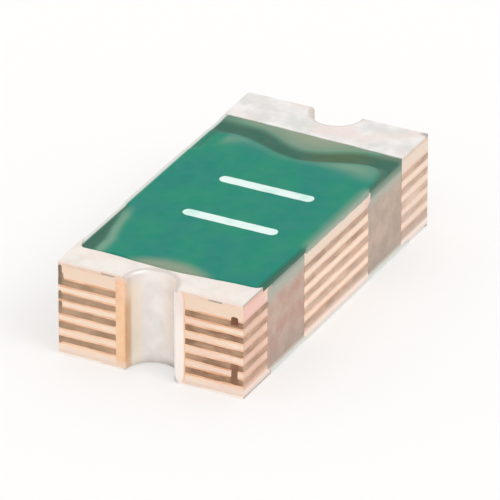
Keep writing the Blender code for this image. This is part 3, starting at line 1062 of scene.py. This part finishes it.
@dataclass
class CoatSheet:
    """A solder mask coat that drapes over the etched foil of one face.

    Where it lies over foil, the top coat has a lip that is rubbed over the side edges.
    """

    plan: Plan
    face: Face
    columns: int = 104
    rows: int = 160
    thickness: float = 0.016
    dip: float = 0.011
    highest: float = -0.0030
    deepest: float = 0.0128
    swell: Ramp = Ramp(-0.03, 0.05, 0.003, 0.0)
    edge_round: Ramp = Ramp(0.0, 0.030, 1.0, 0.0)
    edge_drop: float = 0.006
    unevenness: Wobble = Wobble(0.0006, 4.0, 4.0, 3.0)
    inset: float = 0.0012
    side_crowd: float = 0.35
    worn_top: Ramp = Ramp(0.018, 0.045, 0.55, 0.0)
    # On the underside's edges the dulled coat shows painted floor light.
    worn_and_floor_lit_bottom: Ramp = Ramp(0.012, 0.035, 0.55, 0.0)
    lip_drop: float = 0.058
    lip_wobble: Wobble = Wobble(0.008, 1.0, 9.0, 4.0)
    lip_proud: float = 0.0007
    lip_worn: tuple[float, float] = (0.18, 0.42)

    def build(self) -> bpy.types.Object:
        """Model the coat as a grid, thicken it and drape it."""
        plan, way = self.plan, self.face.value
        node = label(self.face) + "_solder_mask"
        low, high = box_mm(node)
        outer = high.z if self.face is Face.TOP else low.z
        piece = Workpiece.slab(label(self.face) + "_mask_coat", self.columns, self.rows)
        values: list[tuple[float, float, float, float]] = []

        def place(point: Vector) -> Vector:
            x, y = self.spot(point.x, point.y)
            upper = point.z > 0.5
            worn = self.worn(x)
            depth = self.depth(x, y) if upper else self.root(x, y)
            looks = (plan.bare_and_land_shade(x, y), plan.thin(x, y), plan.foil_edge(x, y))
            if self.face is Face.TOP and abs(point.x) > 1.0 - NEAR and not plan.over_window(x, y):
                worn = max(worn, self.lip_worn[0 if upper else 1])
                depth = depth if upper else self.lip_drop + self.lip_wobble(x, y)
                x = math.copysign(plan.half_width + self.lip_proud, x)
            values.append((*looks, worn))
            return Vector((x, way * y, outer - way * depth))

        piece.move_points(place)
        piece.mark_points(values)
        return piece.finish(Slot.SOLDER_MASK, [node])

    def worn(self, x: float) -> float:
        """Say how dull the coat is where the saw has cut it, from 0 to 1. On the underside's edges the dulled
        coat shows painted floor light.
        """
        if self.face is Face.TOP:
            return self.worn_top(self.plan.half_width + x)
        return self.worn_and_floor_lit_bottom(self.plan.half_width - abs(x))

    def spot(self, across: float, along: float) -> tuple[float, float]:
        """Turn a place on the unit grid into one on the chip, with rows crowded at the edges.

        Args:
            across: From -1 at the left side to 1 at the right.
            along: From -1 at the front edge to 1 at the rear edge.

        Returns:
            The X and Y on the chip.
        """
        crowd = self.side_crowd
        across = across * (1.0 - crowd) + math.sin(across * math.pi / 2.0) * crowd
        along = along * (1.0 - crowd) + math.sin(along * math.pi / 2.0) * crowd
        x = across * (self.plan.half_width - self.inset)
        front = self.plan.coat_edge(End.FRONT, x)
        rear = self.plan.coat_edge(End.REAR, x)
        return x, front + (rear - front) * (along + 1.0) / 2.0

    def depth(self, x: float, y: float) -> float:
        """Give how far the coat's surface lies under its highest level."""
        plan = self.plan
        to_edge = min(y - plan.coat_edge(End.FRONT, x), plan.coat_edge(End.REAR, x) - y)
        rolled = self.edge_drop * self.edge_round(to_edge) ** 2
        raised = self.swell(math.hypot(x, plan.half_length - abs(y)) - plan.collar_radius)
        uneven = self.unevenness(x, y) * self.face.value
        return min(max(self.dip * plan.bare_and_land_shade(x, y) + rolled - raised + uneven, self.highest), self.deepest)

    def root(self, x: float, y: float) -> float:
        """Give how far the coat's underside lies under its highest level."""
        return self.thickness + self.plan.etched * max(self.plan.bare_and_land_shade(x, y), self.plan.over_window(x, y))


@dataclass
class Terminal:
    """A plated end: a land on each face and the lining of the half hole between them."""

    plan: Plan
    end: End
    land_thickness: float = 0.020
    skin: float = 0.6
    run_in: float = 0.030
    columns: int = 72
    rows: int = 12
    spare: float = 0.050
    rim: float = 0.007
    flare: float = 0.030
    flare_angle: float = 75.0
    flare_steps: int = 8
    flare_end: float = 0.06
    hole_sides: int = 112
    inset: float = 0.0015
    dimple: Wobble = Wobble(0.0012, 7.0, 7.0, 5.0)

    def build(self) -> bpy.types.Object:
        """Model both lands and the column, cut the hole and trim the sawn end."""
        terminal = self.land(label(self.end) + "_tin_terminal", Face.TOP)
        terminal.carve(self.land("lower_land", Face.BOTTOM), "UNION")
        terminal.carve(self.column(), "UNION")
        terminal.carve(self.hole(), "DIFFERENCE")
        self.trim(terminal)
        return terminal.finish(Slot.TIN, [label(self.end) + "_terminal"], smooth_angle=32.0)

    def coat_edge(self, face: Face, x: float) -> float:
        """Give the Y of the coat's edge beside this end's land on one face."""
        return face.value * self.plan.coat_edge(End(face.value * self.end.value), x)

    def into_window(self, face: Face, x: float, y: float) -> float:
        """Give how far the tin runs down into a window of the foil that the coat leaves open."""
        nearer = abs(y) - self.run_in
        return self.plan.etched * self.plan.over_window(x, math.copysign(nearer, y * face.value))

    def land(self, name: str, face: Face) -> Workpiece:
        """Model one land as a slab with a rounded inner edge and a softly dimpled face.

        Args:
            name: The workpiece's name.
            face: The face of the chip that it lies on.

        Returns:
            The land, a little longer than the chip at its sawn end.
        """
        piece = Workpiece.slab(name, self.columns, self.rows)
        middle = self.plan.height / 2.0
        outer_y = self.end.value * (self.plan.half_length + self.spare)
        outer_z = self.plan.height if face is Face.TOP else 0.0

        def place(point: Vector) -> Vector:
            x = point.x * (self.plan.half_width - self.inset)
            inner_y = self.coat_edge(face, x)
            y = inner_y + (outer_y - inner_y) * (1.0 + point.y) / 2.0
            if point.z > 0.5:
                level = self.dimple(x, y, face.value)
            else:
                level = -self.land_thickness - self.into_window(face, x, y)
            return Vector((x, y, outer_z - face.value * (self.dimple.size - level)))

        def on_inner_rim(*points: Vector) -> bool:
            skin = self.land_thickness * self.skin
            return all(
                abs(point.y - self.coat_edge(face, point.x)) <= NEAR and abs(point.z - middle) >= middle - skin
                for point in points
            )

        piece.move_points(place)
        piece.edit()
        piece.pick_edges(on_inner_rim)
        bpy.ops.mesh.bevel(offset=self.rim, segments=3, affect="EDGES")
        piece.close()
        return piece

    def column(self) -> Workpiece:
        """Model the plating of the hole as a solid column."""
        return Workpiece(
            "column",
            bpy.ops.mesh.primitive_cylinder_add,
            vertices=self.hole_sides,
            radius=self.plan.hole_radius + self.plan.lining,
            depth=self.plan.height - self.land_thickness,
            location=(0.0, self.end.value * self.plan.half_length, self.plan.height / 2.0),
        )

    def rings(self) -> list[tuple[float, float]]:
        """List how far out and how far up each ring of the hole's flare lies."""
        found = []
        for step in range(1, self.flare_steps + 1):
            angle = math.radians(self.flare_angle * step / self.flare_steps)
            found.append((self.flare * (1.0 - math.cos(angle)), self.flare * math.sin(angle)))
        rise = self.flare_end * math.tan(math.radians(90.0 - self.flare_angle))
        return [*found, (found[-1][0] + self.flare_end, found[-1][1] + rise)]

    def hole(self) -> Workpiece:
        """Model the hole as a cylinder whose two ends flare into the lands."""
        centre_y, middle_z = self.end.value * self.plan.half_length, self.plan.height / 2.0
        straight = self.plan.height - 2.0 * (self.flare + self.dimple.size)
        piece = Workpiece(
            "hole",
            bpy.ops.mesh.primitive_cylinder_add,
            vertices=self.hole_sides,
            radius=self.plan.hole_radius,
            depth=straight,
            location=(0.0, centre_y, middle_z),
        )
        piece.edit()
        for way in (1, -1):
            cap_z = middle_z + way * straight / 2.0
            piece.pick_faces(lambda centre, normal: abs(centre.z - cap_z) < NEAR)
            radius, rise = self.plan.hole_radius, 0.0
            for out, up in self.rings():
                step = (0.0, 0.0, way * (up - rise))
                bpy.ops.mesh.extrude_region_move(TRANSFORM_OT_translate={"value": step})
                grow = (self.plan.hole_radius + out) / radius
                level = (0.0, centre_y, middle_z + way * (straight / 2.0 + up))
                bpy.ops.transform.resize(value=(grow, grow, 1.0), center_override=level)
                radius, rise = self.plan.hole_radius + out, up
        piece.close()
        return piece

    def trim(self, terminal: Workpiece) -> None:
        """Saw the terminal off at the end of the chip."""
        terminal.edit()
        bpy.ops.mesh.select_all(action="SELECT")
        cut = self.end.value * (self.plan.half_length - self.inset)
        bpy.ops.mesh.bisect(
            plane_co=(0.0, cut, 0.0),
            plane_no=(0.0, self.end.value, 0.0),
            use_fill=True,
            clear_outer=True,
            threshold=1e-5,
        )
        terminal.close()


@dataclass
class SideFill:
    """Filling resin in one side pocket, with a slightly sunken, uneven face."""

    end: End
    side: Side
    cuts: int = 24
    hollow: Ramp = Ramp(0.45, 1.0, 0.0055, 0.0)
    grit: Wobble = Wobble(0.0030, 14.0, 14.0, 2.0)
    shrink: float = 0.0014

    def build(self) -> bpy.types.Object:
        """Model the fill as a block whose outer face is subdivided and sunk."""
        node = label(self.end, self.side) + "_side_fill"
        low, high = box_mm(node)
        size, middle, way = high - low, (low + high) / 2.0, self.side.value
        face_x = high.x if self.side is Side.RIGHT else low.x
        piece = Workpiece.block(node + "_resin", middle, size)
        piece.edit()
        piece.pick_faces(lambda centre, normal: normal.x * way > 0.9)
        bpy.ops.mesh.subdivide(number_cuts=self.cuts)
        piece.close()

        def place(point: Vector) -> Vector:
            if abs(point.x - face_x) > NEAR:
                return point
            rim = 2.0 * max(abs(point.z - middle.z) / size.z, abs(point.y - middle.y) / size.y)
            rough = self.grit(point.y, point.z, way) * (1.0 - rim**6)
            point.x -= way * (self.shrink + max(self.hollow(rim) + rough, 0.0))
            return point

        piece.move_points(place)
        return piece.finish(Slot.SIDE_RESIN, [node], smooth_angle=60.0)


PLUG_HAZE = {End.FRONT: (0.09, 5.0), End.REAR: (-0.0602, 4.3)}


@dataclass
class MaskPlug:
    """The solder mask that has run into the top of one side pocket, dulled by the resin."""

    plan: Plan
    end: End
    side: Side
    overlap: float = 0.024
    wall: float = 0.070
    top_z: float = 0.8055
    inset: float = 0.0008
    play: float = 0.002
    crest: float = 0.010
    cuts: int = 24
    layers: int = 9
    looks: Triple = (0.9, 0.3, 0.0)
    haze_foot: float = 0.04
    haze_foot_more: float = 0.2
    wavy_from: float = 0.02
    waves: Wobble = Wobble(0.016, 6.0, 1.0, 8.0)
    unevenness: Wobble = Wobble(0.0006, 8.0, 8.0, 9.0)
    under_coat: Ramp = Ramp(0.776, 0.782, 0.0, 0.0012)

    def haze(self, below: float, drop: float) -> float:
        """Say how much resin dulls the plug.

        Args:
            below: How far the place lies under the plug's top.
            drop: How tall the plug is.

        Returns:
            The share for the coat's values, where more than BURIED_FROM is resin.
        """
        start, rise = PLUG_HAZE[self.end]
        foot = Ramp(drop - self.haze_foot, drop, 0.0, self.haze_foot_more)
        return min(max(start + rise * below, 0.0), BURIED_FROM) + foot(below)

    def build(self) -> bpy.types.Object:
        """Model the plug as a block with a rounded crest and a wavering lower edge."""
        low, high = box_mm(label(self.end, self.side) + "_side_fill")
        way = self.side.value
        drop = self.top_z - high.z + self.overlap
        outer = way * (self.plan.half_width - self.inset)
        middle = Vector((outer - way * self.wall / 2.0, (low.y + high.y) / 2.0, self.top_z - drop / 2.0))
        size = Vector((self.wall, high.y - low.y - self.play, drop))
        piece = Workpiece.block(label(self.end, self.side) + "_mask_plug", middle, size)
        piece.edit()
        piece.pick_edges(lambda first, second: abs(first.y - second.y) > 0.1)
        bpy.ops.mesh.subdivide(number_cuts=self.cuts)
        piece.pick_edges(lambda first, second: abs(first.z - second.z) > drop / 2.0)
        bpy.ops.mesh.subdivide(number_cuts=self.layers)
        piece.pick_edges(
            lambda *ends: all(point.z > self.top_z - NEAR and abs(point.x - outer) < NEAR for point in ends)
        )
        bpy.ops.mesh.bevel(offset=self.crest, segments=4, affect="EDGES")
        piece.close()

        def place(point: Vector) -> Vector:
            share = Ramp(self.wavy_from, drop)(self.top_z - point.z)
            point.z += share * self.waves(point.y, 1.0, way)
            if abs(point.x - outer) < 1e-3:
                uneven = self.unevenness.size + self.unevenness(point.y, point.z)
                point.x -= way * (uneven + self.under_coat(point.z))
            return point

        piece.move_points(place)
        points = piece.item.data.vertices
        piece.mark_points([(*self.looks, self.haze(self.top_z - point.co.z, drop)) for point in points])
        return piece.finish(Slot.SOLDER_MASK)


@dataclass
class InkBar:
    """A plain printed bar on the solder mask."""

    node: str
    corner: float = 0.0495
    corner_steps: int = 12
    cuts: int = 40
    edge: float = 0.0022
    edge_drop: float = 0.6
    waver_along: Wobble = Wobble(0.0022, 16.0, 4.0, 6.0)
    waver_across: Wobble = Wobble(0.0022, 3.0, 20.0, 7.0)
    sink: float = 0.0015

    def build(self) -> bpy.types.Object:
        """Model the bar as a thin block with rounded corners and a soft, uneven outline."""
        low, high = box_mm(self.node)
        size = high - low
        size.z += self.sink
        middle = (low + high) / 2.0 - Vector((0.0, 0.0, self.sink / 2.0))
        piece = Workpiece.block(self.node + "_print", middle, size)
        piece.edit()
        piece.pick_edges(lambda first, second: abs(first.z - second.z) > self.sink)
        bpy.ops.mesh.bevel(offset=self.corner, segments=self.corner_steps, affect="EDGES")
        piece.pick_edges(lambda first, second: abs(first.x - second.x) > size.x / 2.0)
        bpy.ops.mesh.subdivide(number_cuts=self.cuts)
        piece.pick_faces(lambda centre, normal: normal.z > 0.9)
        bpy.ops.mesh.inset(thickness=self.edge, depth=0.0)
        piece.close()

        def place(point: Vector) -> Vector:
            reach = abs(point.y - middle.y) / (size.y / 2.0)
            if point.z > high.z - NEAR and reach > 1.0 - 2.0 * self.edge / size.y:
                point.z -= self.edge * self.edge_drop
            point.y += self.waver_along(point.x, point.y)
            point.x += self.waver_across(point.x, point.y)
            return point

        piece.move_points(place)
        return piece.finish(Slot.INK, [self.node])


@dataclass
class SawnFilm:
    """Thin, ragged films that the saw drags over the cut faces, joined as one piece."""

    name: str
    slot: Slot
    waver: float = 0.0060
    film: float = 0.0011
    root: float = 0.0020
    step: float = 0.012
    taper: float = 0.985
    widening: float = 0.25
    narrower_end: float = 0.5
    thinner_edge: float = 0.6
    coarse: Wobble = Wobble(1.0, 6.0, 1.0)
    fine: Wobble = Wobble(0.4, 24.0, 1.0)
    patterns: Triple = (1.3, 2.1, 30.0)

    def ribbon(self, start: Vector, finish: Vector, breadth: Vector, facing: Vector) -> Workpiece:
        """Model one strip of film, with ragged edges.

        Args:
            start: Where its middle line begins.
            finish: Where it ends.
            breadth: From the middle line to one edge.
            facing: The way that the cut face looks.

        Returns:
            The strip.
        """
        run = finish - start
        piece = Workpiece.slab("film", max(int(run.length / self.step), 6), 4)
        pattern = Vector((facing.x, facing.y, start.z)).dot(Vector(self.patterns))

        def place(point: Vector) -> Vector:
            spot = start + run * (point.x + 1.0) / 2.0
            along = spot.x + spot.y + spot.z
            ragged = self.coarse(along, point.y, pattern) + self.fine(along, point.y, pattern)
            near_end = Ramp(self.taper, 1.0)(abs(point.x))
            reach = breadth.length + self.waver * (ragged + self.widening)
            reach *= 1.0 - self.narrower_end * near_end
            proud = (1.0 - self.thinner_edge * abs(point.y)) * (1.0 - self.thinner_edge * near_end)
            out = self.film * proud if point.z > 0.5 else -self.root
            return spot + facing * out + breadth * (point.y * reach / breadth.length)

        piece.move_points(place)
        return piece

    def join(self, strips: list[Workpiece]) -> bpy.types.Object:
        """Join the strips and finish the piece."""
        first = strips[0]
        first.take_in(strips[1:])
        first.rename(self.name)
        return first.finish(self.slot, smooth_angle=60.0)


@dataclass
class DraggedPolymer:
    """The film along the cut edge of one polymer sheet."""

    plan: Plan
    number: int
    copper_wall: float = 0.065

    def spans(self) -> list[tuple[Vector, Vector, Vector]]:
        """List the stretches of cut edge.

        Returns:
            For each stretch its start, its end and the direction that it faces.
        """
        width, length = self.plan.half_width, self.plan.half_length
        hole = self.plan.hole_radius + self.plan.lining + self.copper_wall
        pocket_low, pocket_high = box_mm("rear_right_side_fill")
        ways = (-1.0, 1.0)
        found = []
        for way in ways:
            for side in ways:
                corner = Vector((side * width, way * length, 0.0))
                beside_hole = Vector((side * hole, way * length, 0.0))
                beside_pocket = Vector((side * width, way * pocket_high.y, 0.0))
                found.append((beside_hole, corner, Vector((0.0, way, 0.0))))
                found.append((corner, beside_pocket, Vector((side, 0.0, 0.0))))
        for side in ways:
            front, rear = (Vector((side * width, way * pocket_low.y, 0.0)) for way in ways)
            found.append((front, rear, Vector((side, 0.0, 0.0))))
        return found

    def build(self) -> bpy.types.Object:
        """Model the film on every stretch and join them."""
        low, high = box_mm(f"polymer_sheet_{self.number}")
        middle = Vector((0.0, 0.0, (low.z + high.z) / 2.0))
        breadth = Vector((0.0, 0.0, (high.z - low.z) / 2.0))
        film = SawnFilm(f"polymer_film_{self.number}", Slot.POLYMER)
        strips = [film.ribbon(a + middle, b + middle, breadth, facing) for a, b, facing in self.spans()]
        return film.join(strips)


@dataclass(frozen=True)
class Stroke:
    """One smear on an end face: its middle line from low to high, its width and its lean."""

    x: float
    low: float
    high: float
    width: float
    lean: float = 0.0


@dataclass(frozen=True)
class Smear:
    """The strokes of one material on an end face, and how thick they are."""

    name: str
    slot: Slot
    film: float
    strokes: tuple[Stroke, ...]


END_SMEARS = (
    Smear("copper_smear", Slot.COPPER, 0.0009, (Stroke(-0.2385, 0.012, 0.806, 0.066),)),
    Smear("tin_smear", Slot.TIN, 0.0012, (Stroke(0.247, 0.008, 0.808, 0.078),)),
    Smear(
        "polymer_smears",
        Slot.POLYMER,
        0.0014,
        (
            Stroke(0.721, 0.130, 0.290, 0.052, 0.006),
            Stroke(0.727, 0.640, 0.700, 0.058),
            Stroke(-0.782, 0.650, 0.785, 0.030),
            Stroke(-0.766, 0.640, 0.725, 0.036, -0.010),
            Stroke(-0.782, 0.375, 0.470, 0.032),
            Stroke(-0.785, 0.500, 0.560, 0.024),
            Stroke(-0.788, 0.100, 0.160, 0.020),
        ),
    ),
    # Dark streaks just under the lands' edges.
    Smear(
        "edge_burrs",
        Slot.SIDE_RESIN,
        0.0014,
        (Stroke(-0.425, 0.7930, 0.7930, 0.014, 0.120), Stroke(0.500, 0.7930, 0.7930, 0.014, 0.120)),
    ),
)


@dataclass
class EndSmears:
    """The metal, polymer and resin films on one end face: the saw's smears, and dark streaks under the lands'
    edges.
    """

    plan: Plan
    end: End
    waver: float = 0.0035
    taper: float = 0.80

    def build(self) -> None:
        """Model the smears of every material."""
        way = self.end.value
        for smear in END_SMEARS:
            name = f"{label(self.end)}_{smear.name}"
            film = SawnFilm(name, smear.slot, waver=self.waver, film=smear.film, taper=self.taper)
            strips = []
            for stroke in smear.strokes:
                start = Vector((-way * stroke.x, way * self.plan.half_length, stroke.low))
                run = Vector((-way * stroke.lean, 0.0, stroke.high - stroke.low))
                across = (1.0, 0.0, 0.0) if run.z > abs(run.x) else (0.0, 0.0, 1.0)
                breadth = Vector(across) * stroke.width / 2.0
                strips.append(film.ribbon(start, start + run, breadth, Vector((0.0, way, 0.0))))
            film.join(strips)


@dataclass
class FillSmears:
    """Filling resin that the saw has dragged past the edges of the pockets on one side.

    Each stretch is given by the two places along the chip between which it lies,
    and by the height that it reaches.
    """

    side: Side
    stretches: tuple[Triple, ...] = ((-1.192, -1.122, 0.776), (0.542, 0.578, 0.693))
    low: float = 0.052
    waver: float = 0.014
    film: float = 0.0013
    taper: float = 0.94

    def build(self) -> bpy.types.Object:
        """Model one upright film over each edge of the pockets."""
        left, right = box_mm(label(End.FRONT, self.side) + "_side_fill")
        x = right.x if self.side is Side.RIGHT else left.x
        name = label(self.side) + "_fill_smears"
        film = SawnFilm(name, Slot.SIDE_RESIN, waver=self.waver, film=self.film, taper=self.taper)
        facing = Vector((self.side.value, 0.0, 0.0))
        strips = []
        for near, far, top in self.stretches:
            middle, breadth = (near + far) / 2.0, Vector((0.0, (far - near) / 2.0, 0.0))
            start, finish = Vector((x, middle, self.low)), Vector((x, middle, top))
            strips.append(film.ribbon(start, finish, breadth, facing))
        return film.join(strips)


class Laminate:
    """The sheets of the chip, which keep their own shape and get their finish."""

    def dress(self) -> None:
        """Give each shown CAD node the finish of its slot."""
        slots = {row["node"]: Slot(row["material_slot"]) for row in frame["record"]["subparts"]}
        for name, item in frame["nodes"].items():
            if item.hide_render:
                continue
            item.data.materials.clear()
            item.data.materials.append(FINISHES[slots[name]])
            LOG.info("%s: CAD node, %s", name, slots[name].value)


@dataclass
class Studio:
    """A pale floor, soft light and the photograph's view."""

    azimuth: float = 27.2
    elevation: float = 28.05
    distance: float = 60.0
    sensor: float = 36.0
    pixels_per_mm: float = 127.9
    frame_pixels: float = 500.0
    target: Triple = (0.0, 0.0, MID_HEIGHT)
    shift_x: float = 0.0082
    shift_y: float = -0.0153
    clip: tuple[float, float] = (0.001, 100.0)
    floor_size: float = 3000.0
    floor_roughness: float = 0.9
    floor_gloss: float = 0.1
    backdrop: Colour = (0.988, 0.988, 0.986)
    floor_colour: Colour = (0.950, 0.938, 0.928)
    shown_share: float = 0.42
    sky: float = 0.94
    sun: float = 0.60
    sun_angle: float = 30.0
    sun_azimuth: float = 78.0
    sun_elevation: float = 46.0

    def direction(self, azimuth: float, elevation: float) -> Vector:
        """Give the direction from the chip to a place in the sky, in degrees."""
        turn, rise = math.radians(azimuth), math.radians(elevation)
        return Vector((math.sin(turn) * math.cos(rise), -math.cos(turn) * math.cos(rise), math.sin(rise)))

    def link(self, name: str, data: bpy.types.ID, towards: Vector) -> bpy.types.Object:
        """Put a camera or a lamp in the scene, looking back from a direction."""
        item = bpy.data.objects.new(name, data)
        bpy.context.scene.collection.objects.link(item)
        item.rotation_euler = towards.to_track_quat("Z", "Y").to_euler()
        return item

    def place_camera(self) -> None:
        """Set the camera where the photograph was taken from."""
        data = bpy.data.cameras.new("camera")
        data.sensor_width = self.sensor
        data.lens = self.sensor * self.distance * self.pixels_per_mm / self.frame_pixels
        data.shift_x, data.shift_y = self.shift_x, self.shift_y
        data.clip_start, data.clip_end = self.clip
        back = self.direction(self.azimuth, self.elevation)
        camera = self.link("camera", data, back)
        camera.location = (Vector(self.target) + back * self.distance) * MM
        bpy.context.scene.camera = camera

    def shown_white(self, recipe: Recipe) -> Socket:
        """Give 1 for the rays that see the backdrop itself, straight, in a mirror or through glass."""
        path = recipe.add("LightPath").outputs
        seen = recipe.combine("MAXIMUM", path["Is Camera Ray"], path["Is Glossy Ray"])
        return recipe.combine("MAXIMUM", seen, path["Is Transmission Ray"])

    def light(self) -> None:
        """Light the chip with a pale sky and one soft lamp from the right."""
        recipe = Recipe(bpy.data.worlds.new("sky"))
        bpy.context.scene.world = recipe.owner
        mix = recipe.add("Mix", Factor=self.shown_white(recipe), A=self.sky, B=1.0)
        recipe.feed(recipe.shader, Color=(*self.backdrop, 1.0), Strength=mix.outputs["Result"])
        lamp = bpy.data.lights.new("soft_sun", "SUN")
        lamp.energy = self.sun
        lamp.angle = math.radians(self.sun_angle)
        self.link("soft_sun", lamp, self.direction(self.sun_azimuth, self.sun_elevation))

    def lay_floor(self) -> None:
        """Lay the pale floor under the chip, and keep its shadow while it shows white."""
        bpy.ops.object.select_all(action="DESELECT")
        bpy.ops.mesh.primitive_plane_add(size=self.floor_size * MM, location=(0.0, 0.0, 0.0))
        floor = bpy.context.object
        floor.name = "floor"
        recipe = Recipe(bpy.data.materials.new("pale_floor"))
        even = {"Roughness": self.floor_roughness, "Specular_IOR_Level": self.floor_gloss}
        recipe.feed(recipe.shader, Base_Color=(*self.floor_colour, 1.0), **even)
        glow = recipe.add("Emission", Color=(*self.backdrop, 1.0))
        share = recipe.combine("MULTIPLY", self.shown_white(recipe), self.shown_share)
        mix = recipe.add("MixShader", Fac=share)
        recipe.join(recipe.shader.outputs["BSDF"], mix.inputs[1])
        recipe.join(glow.outputs["Emission"], mix.inputs[2])
        recipe.feed(recipe.tree.nodes["Material Output"], Surface=mix.outputs["Shader"])
        floor.data.materials.append(recipe.owner)

    def build(self) -> None:
        """Set up the view, the light and the floor."""
        bpy.context.scene.view_settings.view_transform = "Standard"
        self.place_camera()
        self.light()
        self.lay_floor()


def main() -> None:
    """Dress the chip and set up the studio."""
    logging.basicConfig(level=logging.INFO, format="%(name)s %(message)s")
    plan = read_plan()
    Studio().build()
    for face in Face:
        CoatSheet(plan, face).build()
    for end in End:
        Terminal(plan, end).build()
        for side in Side:
            SideFill(end, side).build()
            MaskPlug(plan, end, side).build()
    for node in ("ink_bar_1", "ink_bar_2"):
        InkBar(node).build()
    for number in range(1, 6):
        DraggedPolymer(plan, number).build()
    for end in End:
        EndSmears(plan, end).build()
    for side in Side:
        FillSmears(side).build()
    Laminate().dress()


if __name__ == "__main__":
    main()
